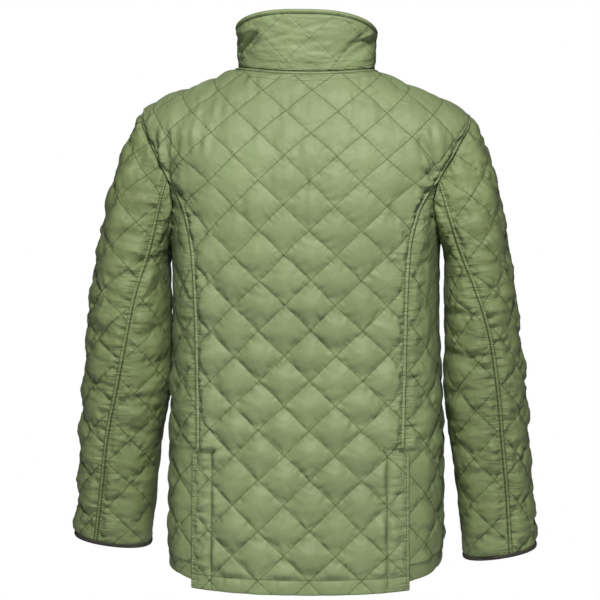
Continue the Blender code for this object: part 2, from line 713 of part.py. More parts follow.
def build():
    clear_scene()
    bpy.context.scene.collection.children.link(bpy.data.collections.new(JACKET))
    quilt = soft_material("quilted_nylon", GREEN, 0.5)
    bias = soft_material("cuff_bias", BROWN_GREY, 0.8)
    metal = soft_material("stud_metal", BROWN_GREY, 0.4)
    star = BACK_ARMHOLE_ROWS
    loop = star + UNDER_COLUMNS + FRONT_ARMHOLE_ROWS
    halves = (("left", 1, SLEEVE_LEFT, CUFF_SLANT[0]), ("right", -1, SLEEVE_RIGHT, CUFF_SLANT[1]))
    back_shares = None
    for word, side, table, slant in halves:
        rings = sleeve_rings(table, slant)
        body_side, sleeve_side = armhole_shares(rings)
        shares = for_body(body_side)
        if back_shares is None:
            back_shares = shares["back"]
        directions = grid_outward(rings)
        directions[0] = sleeve_side
        upper = loop - UNDER_COLUMNS
        sleeve_piece(f"sleeve_upper_{word}", side, rings, directions, star + UNDER_COLUMNS, upper, quilt)
        sleeve_piece(f"sleeve_under_{word}", side, rings, directions, star, UNDER_COLUMNS, quilt)
        cuff_binding(f"cuff_binding_{word}", side, rings, directions, bias)
        front(f"front_{word}", side, quilt, shares)
    back_panel(quilt, back_shares)
    collar(quilt)
    for number, drop in enumerate(STUD_DROPS, start=1):
        stud(f"stud_{number}", drop, metal)


build()
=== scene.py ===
import math
from collections import namedtuple

import bpy
import numpy as np
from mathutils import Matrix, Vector


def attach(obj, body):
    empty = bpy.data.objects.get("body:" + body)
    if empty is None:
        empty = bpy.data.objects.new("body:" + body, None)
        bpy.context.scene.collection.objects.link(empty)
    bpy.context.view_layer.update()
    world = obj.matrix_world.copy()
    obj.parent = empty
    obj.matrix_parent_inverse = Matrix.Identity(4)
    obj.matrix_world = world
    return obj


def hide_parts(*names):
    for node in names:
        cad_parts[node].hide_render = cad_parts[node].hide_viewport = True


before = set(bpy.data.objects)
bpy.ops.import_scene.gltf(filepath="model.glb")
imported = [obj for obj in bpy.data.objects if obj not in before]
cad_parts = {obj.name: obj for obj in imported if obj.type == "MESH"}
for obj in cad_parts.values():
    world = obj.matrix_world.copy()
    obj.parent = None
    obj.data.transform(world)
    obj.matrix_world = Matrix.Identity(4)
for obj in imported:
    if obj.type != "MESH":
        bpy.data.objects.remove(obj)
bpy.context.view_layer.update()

# ---------------------------------------------------------------------------------------------
# Back panel: one piece of quilted nylon, taffeta over thin wadding stitched through in diamonds,
# from the neck and shoulders to a hem turned up 22 mm. It is sewn to the fronts down the
# side-back seams, which open below into vents with turned, stitched edges.
# ---------------------------------------------------------------------------------------------
# The form that the jacket hangs in, filled out on its wearer: level lines round the body, given
# by a drop below the neck and an angle from the wearer's left (0) through the back (90) to the
# right (180) and the front (-90).
WALL = 0.003
Level = namedtuple("Level", "drop back_low front_low half_width back_y front_y fullness")
LEVELS = [
    Level(0.000, 0.010, 0.058, 0.1030, 0.064, 0.078, 2.10),
    Level(0.022, 0.028, 0.068, 0.1510, 0.088, 0.098, 2.05),
    Level(0.044, 0.042, 0.072, 0.2080, 0.104, 0.112, 2.10),
    Level(0.066, 0.050, 0.072, 0.2430, 0.115, 0.122, 2.20),
    Level(0.110, 0.040, 0.055, 0.2420, 0.124, 0.131, 2.40),
    Level(0.150, 0.029, 0.040, 0.2250, 0.129, 0.136, 2.50),
    Level(0.200, 0.016, 0.022, 0.2065, 0.132, 0.139, 2.65),
    Level(0.250, 0.010, 0.012, 0.2010, 0.131, 0.140, 2.80),
    Level(0.330, 0.004, 0.004, 0.1985, 0.126, 0.137, 2.90),
    Level(0.420, 0.000, 0.000, 0.1990, 0.121, 0.134, 2.90),
    Level(0.520, 0.000, 0.000, 0.2015, 0.124, 0.136, 2.90),
    Level(0.620, 0.000, 0.000, 0.2030, 0.131, 0.140, 2.90),
    Level(0.720, 0.000, 0.000, 0.2035, 0.136, 0.144, 2.90),
    Level(0.790, 0.000, 0.000, 0.2035, 0.138, 0.146, 2.90),
]
SHOULDER_SEAM = (-8.0, -4.6)
SHOULDER_DROP = 0.066
SHOULDER_LEAN = 0.022
Mark = namedtuple("Mark", "angle drop")
ARMHOLE_BACK = [
    Mark(-4.6, 0.0660), Mark(3.5, 0.0675), Mark(11.0, 0.0760), Mark(17.5, 0.0920),
    Mark(22.0, 0.1150), Mark(25.5, 0.1400), Mark(27.5, 0.1640),
]
SeamMark = namedtuple("SeamMark", "drop half_width")
SIDE_SEAM = [
    SeamMark(0.164, 0.1975), SeamMark(0.185, 0.1850), SeamMark(0.205, 0.1755),
    SeamMark(0.230, 0.1685), SeamMark(0.260, 0.1625), SeamMark(0.290, 0.1598),
    SeamMark(0.350, 0.1568), SeamMark(0.450, 0.1545), SeamMark(0.560, 0.1523),
    SeamMark(0.790, 0.1523),
]
VENT_DROP = 0.560
VENT_EDGE = 0.1590
BACK_HEM = (0.7710, 0.7655)


def smooth(knots, values, at):
    """A curve through the values, with no kinks at the knots."""
    knots = np.asarray(knots, float)
    values = np.asarray(values, float)
    spans = np.diff(knots)
    rises = np.diff(values) / spans
    slopes = np.empty_like(values)
    slopes[0], slopes[-1] = rises[0], rises[-1]
    slopes[1:-1] = (rises[:-1] * spans[1:] + rises[1:] * spans[:-1]) / (spans[:-1] + spans[1:])
    at = np.clip(np.asarray(at, float), knots[0], knots[-1])
    row = np.clip(np.searchsorted(knots, at, side="right") - 1, 0, len(spans) - 1)
    part = (at - knots[row]) / spans[row]
    start = values[row] * (1 + 2 * part) + slopes[row] * spans[row] * part
    end = values[row + 1] * (3 - 2 * part) - slopes[row + 1] * spans[row] * (1 - part)
    return start * (1 - part) ** 2 + end * part**2


def read(table, name, at):
    """One column of a table, at places between its rows."""
    return smooth([row[0] for row in table], [getattr(row, name) for row in table], at)


def rounded(angle, fullness):
    """Shares across and deep of a rounded level: an oval at a fullness of 2, squarer above it."""
    turn = np.radians(angle)
    power = 2 / fullness
    across = np.sign(np.cos(turn)) * np.abs(np.cos(turn)) ** power
    deep = np.sign(np.sin(turn)) * np.abs(np.sin(turn)) ** power
    return across, deep


def body(angle, drop):
    """Points of the body's form."""
    angle, drop = np.broadcast_arrays(np.asarray(angle, float), np.asarray(drop, float))
    across, deep = rounded(angle, read(LEVELS, "fullness", drop))
    is_back = deep > 0
    reach = np.where(is_back, read(LEVELS, "back_y", drop), read(LEVELS, "front_y", drop))
    low = np.where(is_back, read(LEVELS, "back_low", drop), read(LEVELS, "front_low", drop))
    x = read(LEVELS, "half_width", drop) * across
    return np.stack([x, reach * deep, -drop - low * deep**2], -1)


def unit(vectors):
    return vectors / np.maximum(np.linalg.norm(vectors, axis=-1, keepdims=True), 1e-12)


def outward(form, angle, level):
    """Directions out of a form; the collar's levels count upwards and the body's down."""
    round_it = form(angle + 0.5, level) - form(angle - 0.5, level)
    up_it = form(angle, level - 0.002) - form(angle, level + 0.002)
    return unit(np.cross(round_it, up_it if form is body else -up_it))


def angle_at(x, drop, at_back):
    """The angle at which a level of the body passes a distance to the wearer's left."""
    share = np.clip(np.abs(x) / read(LEVELS, "half_width", drop), 0, 1)
    turn = np.degrees(np.arccos(share ** (read(LEVELS, "fullness", drop) / 2)))
    turn = np.where(np.asarray(x) < 0, 180 - turn, turn)
    return turn if at_back else -turn


def run_of(points):
    """Distances along a line of points, or along each row of a grid of them."""
    steps = np.linalg.norm(np.diff(points, axis=-2), axis=-1)
    return np.concatenate([np.zeros((*steps.shape[:-1], 1)), np.cumsum(steps, axis=-1)], -1)


def evenly(first, last, level, count, form=body):
    """Angles that part a level into equal lengths of cloth."""
    fine = np.linspace(first, last, 241)
    run = run_of(form(fine, level))
    return np.interp(np.linspace(0, run[-1], count + 1), run, fine)


def along_marks(marks, count):
    """Angles and drops that part a seam, given by its marks, into equal lengths."""
    knots = np.arange(len(marks), dtype=float)
    fine = np.linspace(0, knots[-1], 40 * len(marks))
    angles = smooth(knots, [m.angle for m in marks], fine)
    drops = smooth(knots, [m.drop for m in marks], fine)
    run = run_of(body(angles, drops))
    at = np.interp(np.linspace(0, run[-1], count + 1), run, fine)
    return smooth(knots, [m.angle for m in marks], at), smooth(knots, [m.drop for m in marks], at)


def ease(share):
    """From 0 to 1, starting and ending gently."""
    share = np.clip(share, 0, 1)
    return share * share * (3 - 2 * share)


def leaned(points):
    """The shoulders lean: the wearer's left is the higher, and it dies away below the armholes."""
    tipped = np.array(points, float)
    share = ease((tipped[..., 2] + 0.30) / 0.20)
    tipped[..., 2] += SHOULDER_LEAN * tipped[..., 0] * share
    return tipped


def mirrored(grid):
    """The other side's piece, for a piece that was worked out on the wearer's left."""
    return grid * np.array([-1.0, 1.0, 1.0])


def near_line(away, width):
    """1 on a line, fading to nothing at about twice the width beside it."""
    return np.exp(-((away / width) ** 2))


# The quilting: each diamond swells between its stitch lines, the lines pull short puckers across
# themselves, and every seam is pressed flat and topstitched.
LINE_SPACING = 0.0520
PILLOW_EDGE = 0.0080
PUCKER_LONG = 0.0036


def jumble(cells, seed):
    """A repeatable number from 0 to 1 for each whole-numbered cell."""
    value = np.sin(cells[0] * 127.1 + cells[1] * 311.7 + seed * 74.7) * 43758.5453
    return value - np.floor(value)


def cloudy(x, y, seed):
    """Soft irregular values from -1 to 1, one bump to a unit."""
    x, y = np.broadcast_arrays(np.asarray(x, float), np.asarray(y, float))
    cx, cy = np.floor(x), np.floor(y)
    fx, fy = ease(x - cx), ease(y - cy)
    low = jumble((cx, cy), seed) * (1 - fx) + jumble((cx + 1, cy), seed) * fx
    high = jumble((cx, cy + 1), seed) * (1 - fx) + jumble((cx + 1, cy + 1), seed) * fx
    return 2 * (low * (1 - fy) + high * fy) - 1


# How the quilted goods lie in a piece: its grain's lean, a crossing, and the diamonds' size.
Grain = namedtuple("Grain", "lean rise across down wide long")


def lattice(across, down, grain):
    """The two counts of stitch lines at a place in the cut; lines run where either is whole."""
    drift = 0.0016 * cloudy(across / 0.050, down / 0.045, 61)
    sag = 0.0016 * cloudy(across / 0.045, down / 0.050, 62)
    wide = (across + drift + grain.lean * down - grain.across) / grain.wide
    long = (down + sag - grain.rise * across - grain.down) / grain.long
    return wide + long, wide - long


def from_line(count):
    return np.abs(count - np.round(count)) * LINE_SPACING


def quilting(one, two, seed, swell, pucker):
    """Height of the quilted surface: domed pillows, pulled into short puckers at the lines."""
    near_one, near_two = from_line(one), from_line(two)
    near = np.minimum(near_one, near_two)
    pillow = (1 - np.exp(-near_one / PILLOW_EDGE)) * (1 - np.exp(-near_two / PILLOW_EDGE))
    dome = np.abs(np.sin(np.pi * one) * np.sin(np.pi * two))
    cell = jumble((np.floor(one), np.floor(two)), seed)
    height = swell * (0.85 + 0.3 * cell) * (0.54 * pillow + 0.62 * dome)
    for near_it, along, line in ((near_one, two, one), (near_two, one, two)):
        run = along * LINE_SPACING
        name = np.round(line) * 7.3 + np.where(line > np.round(line), 0.0, 40.0)
        short = cloudy(run / PUCKER_LONG, name, seed + 1) * np.exp(-near_it / 0.0045)
        long = cloudy(run / (2 * PUCKER_LONG) + near_it / 0.02, name + 3, seed + 2)
        long = long * np.exp(-near_it / 0.0105)
        height = height + pucker * (0.6 * short + 1.1 * long) * ease(near_it / 0.0025)
    return height - 0.0004 * near_line(near, 0.0012)


Trough = namedtuple("Trough", "x1 y1 x2 y2 depth reach")


def troughs(across, down, folds):
    """Soft folds, given one by one: each a trough (or a ridge, if its depth is negative)."""
    total = np.zeros_like(across)
    for fold in folds:
        run = np.array([fold.x2 - fold.x1, fold.y2 - fold.y1])
        length = run @ run
        part = ((across - fold.x1) * run[0] + (down - fold.y1) * run[1]) / length
        near = np.clip(part, 0, 1)
        away = np.hypot(across - fold.x1 - near * run[0], down - fold.y1 - near * run[1])
        side = (across - fold.x1) * run[1] - (down - fold.y1) * run[0]
        fade = np.sin(np.pi * np.clip(0.12 + 0.76 * near, 0, 1))
        dip = near_line(away, fold.reach)
        lip = near_line(away - 1.9 * fold.reach, fold.reach) * 0.35
        total -= fold.depth * fade * (dip - lip * (side > 0))
    return total


def pressed(edge, along, seed, welt=0.0060, raise_by=0.0014, pucker=0.0026):
    """Beside a seam: how much of the swell is left, and the welt, its stitch grooves and puckers."""
    keep = ease((edge - 0.6 * welt) / 0.013)
    ridge = raise_by * np.clip(1 - ((edge - 0.5 * welt) / (0.5 * welt)) ** 2, 0, 1)
    crimp = 1 + 0.15 * cloudy(along / 0.0032, 0.5, seed + 8)
    ditch = -0.0003 * near_line(edge, 0.0011) - 0.0010 * near_line(edge - welt, 0.0013)
    beyond = np.maximum(edge - welt, 0)
    pulls = cloudy(along / 0.0044 + edge / 0.05, edge / 0.05, seed) * near_line(beyond, 0.010)
    wide = cloudy(along / 0.0082 + edge / 0.04, edge / 0.06, seed + 5)
    pulls = pulls + 0.9 * wide * near_line(beyond, 0.024)
    inside = ease((edge - 0.8 * welt) / 0.004)
    return keep, ridge * crimp + ditch + pucker * pulls * inside


# A side of one square of a piece's grid: its first corner, the way along it, the square beyond.
SquareSide = namedtuple("SquareSide", "row column down along next_row next_column")
SQUARE_SIDES = [
    SquareSide(0, 0, 1, 0, 0, -1), SquareSide(1, 0, 0, 1, 1, 0),
    SquareSide(1, 1, -1, 0, 0, 1), SquareSide(0, 1, 0, -1, -1, 0),
]


def laid_piece(name, points, faces, material):
    """A smooth mesh at the origin, riding on the jacket's one body."""
    mesh = bpy.data.meshes.new(name)
    mesh.from_pydata([tuple(point) for point in points], [], faces)
    mesh.polygons.foreach_set("use_smooth", [True] * len(faces))
    mesh.update()
    obj = bpy.data.objects.new(name, mesh)
    bpy.context.scene.collection.objects.link(obj)
    mesh.materials.append(material)
    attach(obj, "root")
    return obj


class Cloth:
    """A piece of the jacket as a closed thin shell: a fine outer face and a plainer inner one."""

    def __init__(self, name, form, directions, relief, present, one, two, edge, lined, every=3):
        self.name, self.base, self.directions, self.present = name, form, directions, present
        self.one, self.two, self.edge, self.lined, self.every = one, two, edge, lined, every
        self.outer = form + directions * relief[..., None]
        self.inner = form - directions * (WALL + 0.55 * np.clip(relief, 0, 1))[..., None]

    def flip(self):
        for name in ("base", "directions", "outer", "inner"):
            setattr(self, name, mirrored(getattr(self, name)))

    def build(self, material, reverse):
        every = self.every
        outer = np.arange(self.outer[..., 0].size).reshape(self.outer.shape[:2])
        i, j = np.nonzero(self.present)
        quads = np.stack([outer[i, j], outer[i + 1, j], outer[i + 1, j + 1], outer[i, j + 1]], -1)
        coarse = self.present[::every, ::every]
        lining = self.inner[::every, ::every]
        inner = outer.size + np.arange(lining[..., 0].size).reshape(lining.shape[:2])
        i, j = np.nonzero(coarse)
        backs = np.stack([inner[i, j], inner[i, j + 1], inner[i + 1, j + 1], inner[i + 1, j]], -1)
        rims = []
        for row, column in zip(i, j):
            for side in SQUARE_SIDES:
                beyond = row + side.next_row, column + side.next_column
                on_grid = 0 <= beyond[0] < coarse.shape[0] and 0 <= beyond[1] < coarse.shape[1]
                if on_grid and coarse[beyond]:
                    continue
                r, c = row + side.row, column + side.column
                fine = [
                    outer[r * every + side.down * k, c * every + side.along * k]
                    for k in range(every + 1)
                ]
                rims.append(fine[::-1] + [inner[r, c], inner[r + side.down, c + side.along]])
        faces = quads.tolist() + backs.tolist() + rims
        if reverse:
            faces = [face[::-1] for face in faces]
        points = leaned(np.concatenate([self.outer.reshape(-1, 3), lining.reshape(-1, 3)]))
        used = np.unique(np.concatenate([quads.ravel(), backs.ravel()]))
        place = np.zeros(len(points), int)
        place[used] = np.arange(len(used))
        faces = [[int(place[corner]) for corner in face] for face in faces]

        def on_both_faces(values):
            return np.concatenate([values.ravel(), values[::every, ::every].ravel()])[used]

        obj = laid_piece(self.name, points[used].tolist(), faces, material)
        mesh = obj.data
        layer = mesh.uv_layers.new(name="quilt_lines")
        corner = np.empty(len(mesh.loops), int)
        mesh.loops.foreach_get("vertex_index", corner)
        both = np.stack([on_both_faces(self.one)[corner], on_both_faces(self.two)[corner]], -1)
        layer.data.foreach_set("uv", both.ravel())
        for label, values in (("from_seam", self.edge), ("quilted", self.lined)):
            layer = mesh.attributes.new(label, "FLOAT", "POINT")
            layer.data.foreach_set("value", on_both_faces(values))
        mesh.update()
        return obj

    def place(self, row, column):
        """Point and direction out at fractional grid places, on the finished surface."""
        row = np.clip(row, 0, self.outer.shape[0] - 1.001)
        column = np.clip(column, 0, self.outer.shape[1] - 1.001)
        i, j = np.floor(row).astype(int), np.floor(column).astype(int)
        fi, fj = (row - i)[..., None], (column - j)[..., None]
        found = []
        for grid in (self.outer, self.directions):
            low = grid[i, j] * (1 - fj) + grid[i, j + 1] * fj
            high = grid[i + 1, j] * (1 - fj) + grid[i + 1, j + 1] * fj
            found.append(low * (1 - fi) + high * fi)
        return leaned(found[0]), unit(found[1])


def grid_run(grid):
    """Distance down each column of a grid from its first row."""
    return np.swapaxes(run_of(np.swapaxes(grid, 0, 1)), 0, 1)


# The nylon: a close plain weave with a soft satin sheen, with painted shade darkening each quilting line's
# groove and the cloth beside a seam; the thread of each quilting line shows as a row of small dashes sunk
# in its groove.
def node_group(name, inputs, outputs):
    group = bpy.data.node_groups.new(name, "ShaderNodeTree")
    for way, labels in (("INPUT", inputs), ("OUTPUT", outputs)):
        for label in labels:
            group.interface.new_socket(name=label, in_out=way, socket_type="NodeSocketFloat")
    return group, group.nodes.new("NodeGroupInput"), group.nodes.new("NodeGroupOutput")


def node(tree, kind, inputs=(), **settings):
    made = tree.nodes.new(kind)
    for name, value in settings.items():
        setattr(made, name, value)
    for key, value in inputs:
        if isinstance(value, bpy.types.NodeSocket):
            tree.links.new(value, made.inputs[key])
        else:
            made.inputs[key].default_value = value
    return made


def maths(tree, operation, *values):
    return node(tree, "ShaderNodeMath", enumerate(values), operation=operation).outputs[0]


def times(tree, first, second):
    return maths(tree, "MULTIPLY", first, second)


def plus(tree, first, second):
    return maths(tree, "ADD", first, second)


def ranged(tree, value, start, end, at_start, at_end):
    inputs = enumerate((value, start, end, at_start, at_end))
    return node(tree, "ShaderNodeMapRange", inputs).outputs[0]


def noise(tree, where, scale, detail, distortion=0.0):
    inputs = [("Vector", where), ("Scale", scale), ("Detail", detail), ("Distortion", distortion)]
    return node(tree, "ShaderNodeTexNoise", inputs).outputs["Fac"]


def mixed(tree, share, first, second, blend="MIX"):
    inputs = [(0, share), (6, first), (7, second)]
    return node(tree, "ShaderNodeMix", inputs, data_type="RGBA", blend_type=blend).outputs[2]


# The width of the painted shade along a quilting line's groove, and how many stitches lie along one side
# of a diamond.
GROOVE_SHADE_WIDE = 0.0017
STITCHES_A_SIDE = 17.0


def stitch_group():
    """Masks of the quilting: how near a stitch line is, and where its dashes of thread are."""
    group, start, end = node_group("quilting_lines", ["Quilted"], ["Groove", "Thread", "Pucker"])
    lines = node(group, "ShaderNodeUVMap", uv_map="quilt_lines")
    split = node(group, "ShaderNodeSeparateXYZ", [(0, lines.outputs[0])])
    grooves, threads, puckers = [], [], []
    for line, along in ((0, 1), (1, 0)):
        count, other = split.outputs[line], split.outputs[along]
        off = maths(group, "SUBTRACT", maths(group, "FRACT", plus(group, count, 0.5)), 0.5)
        away = times(group, maths(group, "ABSOLUTE", off), LINE_SPACING)
        grooves.append(ranged(group, away, 0.0, GROOVE_SHADE_WIDE, 1.0, 0.0))
        near = ranged(group, away, 0.0003, 0.0007, 1.0, 0.0)
        beat = maths(group, "FRACT", times(group, other, STITCHES_A_SIDE))
        beat = maths(group, "SUBTRACT", beat, 0.5)
        dash = maths(group, "LESS_THAN", maths(group, "ABSOLUTE", beat), 0.36)
        threads.append(times(group, near, dash))
        # Creases run across the line, so they change quickly along it and slowly away from it.
        inputs = enumerate((times(group, other, 11.0), times(group, count, 2.6), line * 9.0))
        place = node(group, "ShaderNodeCombineXYZ", inputs)
        reach = ranged(group, away, 0.0, 0.016, 1.0, 0.0)
        creases = noise(group, place.outputs[0], 1.0, 3.0)
        puckers.append(times(group, creases, maths(group, "POWER", reach, 1.5)))
    quilted = start.outputs["Quilted"]
    group.links.new(times(group, maths(group, "MAXIMUM", *grooves), quilted), end.inputs["Groove"])
    group.links.new(times(group, maths(group, "MAXIMUM", *threads), quilted), end.inputs["Thread"])
    group.links.new(plus(group, *puckers), end.inputs["Pucker"])
    return group


def weave_group():
    """Fine plain weave and the creases of handled nylon, as a height in millimetres and a tone."""
    group, start, end = node_group("nylon_weave", ["Creased"], ["Height", "Tone", "Level creases"])
    where = node(group, "ShaderNodeTexCoord").outputs["Object"]
    crease = noise(group, where, 75.0, 4.0, 1.4)
    height = plus(group, times(group, noise(group, where, 900.0, 2.0), 0.05), times(group, crease, 0.40))
    group.links.new(times(group, height, start.outputs["Creased"]), end.inputs["Height"])
    tone = plus(group, times(group, crease, 0.35), noise(group, where, 9.0, 3.0))
    group.links.new(tone, end.inputs["Tone"])
    pulled = node(group, "ShaderNodeMapping", [("Vector", where), ("Scale", (38.0, 38.0, 190.0))])
    group.links.new(noise(group, pulled.outputs[0], 1.0, 3.0, 0.5), end.inputs["Level creases"])
    return group


QUILT_LINES = stitch_group()
WEAVE = weave_group()


def nylon(name, light, groove_shade_and_thread=(), roughness=0.55, creased=1.0):
    """Quilted cloth is given painted shade in its grooves and beside its seams, and its thread's colour;
    plain cloth has none.
    """
    material = bpy.data.materials.new(name)
    material.use_nodes = True
    tree = material.node_tree
    shader = tree.nodes["Principled BSDF"]
    weave = node(tree, "ShaderNodeGroup", node_tree=WEAVE)
    weave.inputs["Creased"].default_value = creased
    tone = ranged(tree, weave.outputs["Tone"], 0.35, 0.95, 0.86, 1.12)
    colour = mixed(tree, 1.0, (*light, 1.0), tone, "MULTIPLY")
    height = weave.outputs["Height"]
    from_seam = node(tree, "ShaderNodeAttribute", attribute_name="from_seam").outputs["Fac"]
    if groove_shade_and_thread:
        dark, thread = groove_shade_and_thread
        here = node(tree, "ShaderNodeAttribute", attribute_name="quilted").outputs["Fac"]
        lines = node(tree, "ShaderNodeGroup", node_tree=QUILT_LINES)
        tree.links.new(here, lines.inputs["Quilted"])
        thread_here = lines.outputs["Thread"]
        # Painted shade: the cloth is darkened towards a dark green in each quilting line's groove.
        deep = times(tree, maths(tree, "POWER", lines.outputs["Groove"], 1.6), 0.42)
        colour = mixed(tree, deep, colour, (*dark, 1.0))
        colour = mixed(tree, times(tree, thread_here, 0.7), colour, (*thread, 1.0))
        height = plus(tree, height, times(tree, thread_here, 0.3))
        height = plus(tree, height, times(tree, lines.outputs["Pucker"], 2.4))
        # Painted shade: the cloth within 1.4 mm of a seam is darkened towards the same dark green.
        colour = mixed(tree, ranged(tree, from_seam, 0.0, 0.0014, 0.70, 0.0), colour, (*dark, 1.0))
    # The cloth beside a seam is drawn into level creases, which fade out over 35 mm.
    beside = ranged(tree, from_seam, 0.0, 0.035, 4.2, 0.25)
    height = plus(tree, height, times(tree, weave.outputs["Level creases"], beside))
    bump = node(tree, "ShaderNodeBump", [("Height", height), ("Strength", 1.0), ("Distance", 0.001)])
    # Seen edge on, the colour is darkened to half: partly the close weave's shaded sides, partly painted
    # shade on the sides of the pieces and the shoulders of the puffs.
    edge_on = node(tree, "ShaderNodeLayerWeight", [("Blend", 0.5), ("Normal", bump.outputs[0])])
    shaded = ranged(tree, edge_on.outputs["Facing"], 0.15, 0.95, 1.0, 0.50)
    colour = mixed(tree, 1.0, colour, shaded, "MULTIPLY")
    tree.links.new(colour, shader.inputs["Base Color"])
    tree.links.new(bump.outputs[0], shader.inputs["Normal"])
    shader.inputs["Roughness"].default_value = roughness
    shader.inputs["Specular IOR Level"].default_value = 0.30
    shader.inputs["Sheen Weight"].default_value = 0.05
    shader.inputs["Sheen Roughness"].default_value = 0.45
    shader.inputs["Sheen Tint"].default_value = (0.80, 0.86, 0.72, 1.0)
    return material


# The dark green of the painted shade in the quilting grooves and beside the seams, and the thread's
# colour.
GROOVE_SHADE_AND_THREAD = ((0.070, 0.110, 0.024), (0.095, 0.135, 0.045))
GREEN = nylon("green_nylon", (0.253, 0.318, 0.146), GROOVE_SHADE_AND_THREAD)
THREAD_GREEN = nylon("green_thread", (0.066, 0.094, 0.030), roughness=0.6)

# Topstitching: each stitch is a short spindle of thread, sunk a little at its ends.
STITCH_LONG = 0.0030
STITCH_EVERY = 0.0042
THREAD_RADIUS = 0.00054


def stitch_rows(name, runs):
    """Joins every stitch of several runs of (points, directions out) into one mesh."""
    points, faces = [], []
    rings = ((-0.5, 0.35, -0.0003), (-0.25, 1.0, 0.0002), (0.25, 1.0, 0.0002), (0.5, 0.35, -0.0003))
    count = 0
    for line, out in runs:
        run = run_of(line)
        number = max(int(run[-1] / STITCH_EVERY), 1)
        for k in range(number):
            at = (k + 0.5) * run[-1] / number
            centre = np.array([np.interp(at, run, line[:, axis]) for axis in range(3)])
            up = unit(np.array([np.interp(at, run, out[:, axis]) for axis in range(3)]))
            ahead = np.array([np.interp(at + 0.001, run, line[:, axis]) for axis in range(3)])
            behind = np.array([np.interp(at - 0.001, run, line[:, axis]) for axis in range(3)])
            way = unit(ahead - behind)
            side = np.cross(up, way)
            for share, thick, rise in rings:
                middle = centre + way * share * STITCH_LONG + up * (rise + THREAD_RADIUS * 0.4)
                for corner in range(5):
                    turn = 2 * math.pi * corner / 5
                    spread = side * math.cos(turn) + up * math.sin(turn)
                    points.append(middle + spread * thick * THREAD_RADIUS)
            for ring in range(3):
                for corner in range(5):
                    a = count + ring * 5 + corner
                    b = count + ring * 5 + (corner + 1) % 5
                    faces.append([a, b, b + 5, a + 5])
            faces.append([count + c for c in range(5)][::-1])
            faces.append([count + 15 + c for c in range(5)])
            count += 20
    return laid_piece(name, points, faces, THREAD_GREEN)


# Rows and columns of the pieces' grids, in threes, because the inside is drawn three times
# as coarse.
SHOULDER_ROWS = 57
BACK_ARM_ROWS = 54
SEAM_ROWS = 165
VENT_ROWS = 87
BACK_COLUMNS = 222
# How far in from their edges the rows of stitches run, and the shoulder's length.
HEM_TURN = 0.022
NECK_STITCH = 0.0048
VENT_STITCHES = (0.0050, 0.034)
SHOULDER_LONG = 0.155
# How the quilting lies: its middle crossing is this far below the neck seam at the back.
BACK_GRAIN = Grain(0.0, 0.0, -0.0165, 0.0, 0.0747, 0.0722)
BACK_CROSSING_BELOW_NECK = 0.1746
# The welt beside the side-back seams, and how much wider it is along the armholes.
WELT = 0.0060
WELT_MORE = 0.0022


def shoulder_drops(count):
    fine = np.linspace(0, SHOULDER_DROP, 81)
    run = run_of(body(np.interp(fine, [0, SHOULDER_DROP], SHOULDER_SEAM), fine))
    return np.interp(np.linspace(0, run[-1], count + 1), run, fine)


def side_seam_angle(drop):
    return angle_at(read(SIDE_SEAM, "half_width", drop), drop, True)


# Folds where the armhole and sleeve seams meet, placed from that point: in, and down.
STAR_FOLDS_LEFT = [
    Trough(0.004, -0.006, 0.012, -0.066, 0.0072, 0.0060),
    Trough(0.006, -0.010, 0.034, -0.058, 0.0054, 0.0060),
    Trough(0.008, 0.006, 0.030, 0.022, 0.0030, 0.0060),
    Trough(0.004, 0.012, 0.014, 0.040, 0.0034, 0.0055),
    Trough(0.030, -0.080, 0.020, -0.045, 0.0026, 0.0065),
]
STAR_FOLDS_RIGHT = [
    Trough(0.004, -0.008, 0.034, -0.062, 0.0070, 0.0060),
    Trough(0.012, -0.030, 0.020, -0.078, 0.0040, 0.0065),
    Trough(0.006, -0.002, 0.032, -0.016, 0.0054, 0.0050),
    Trough(0.006, 0.008, 0.028, 0.018, 0.0034, 0.0055),
    Trough(0.004, 0.014, 0.012, 0.038, 0.0032, 0.0055),
]


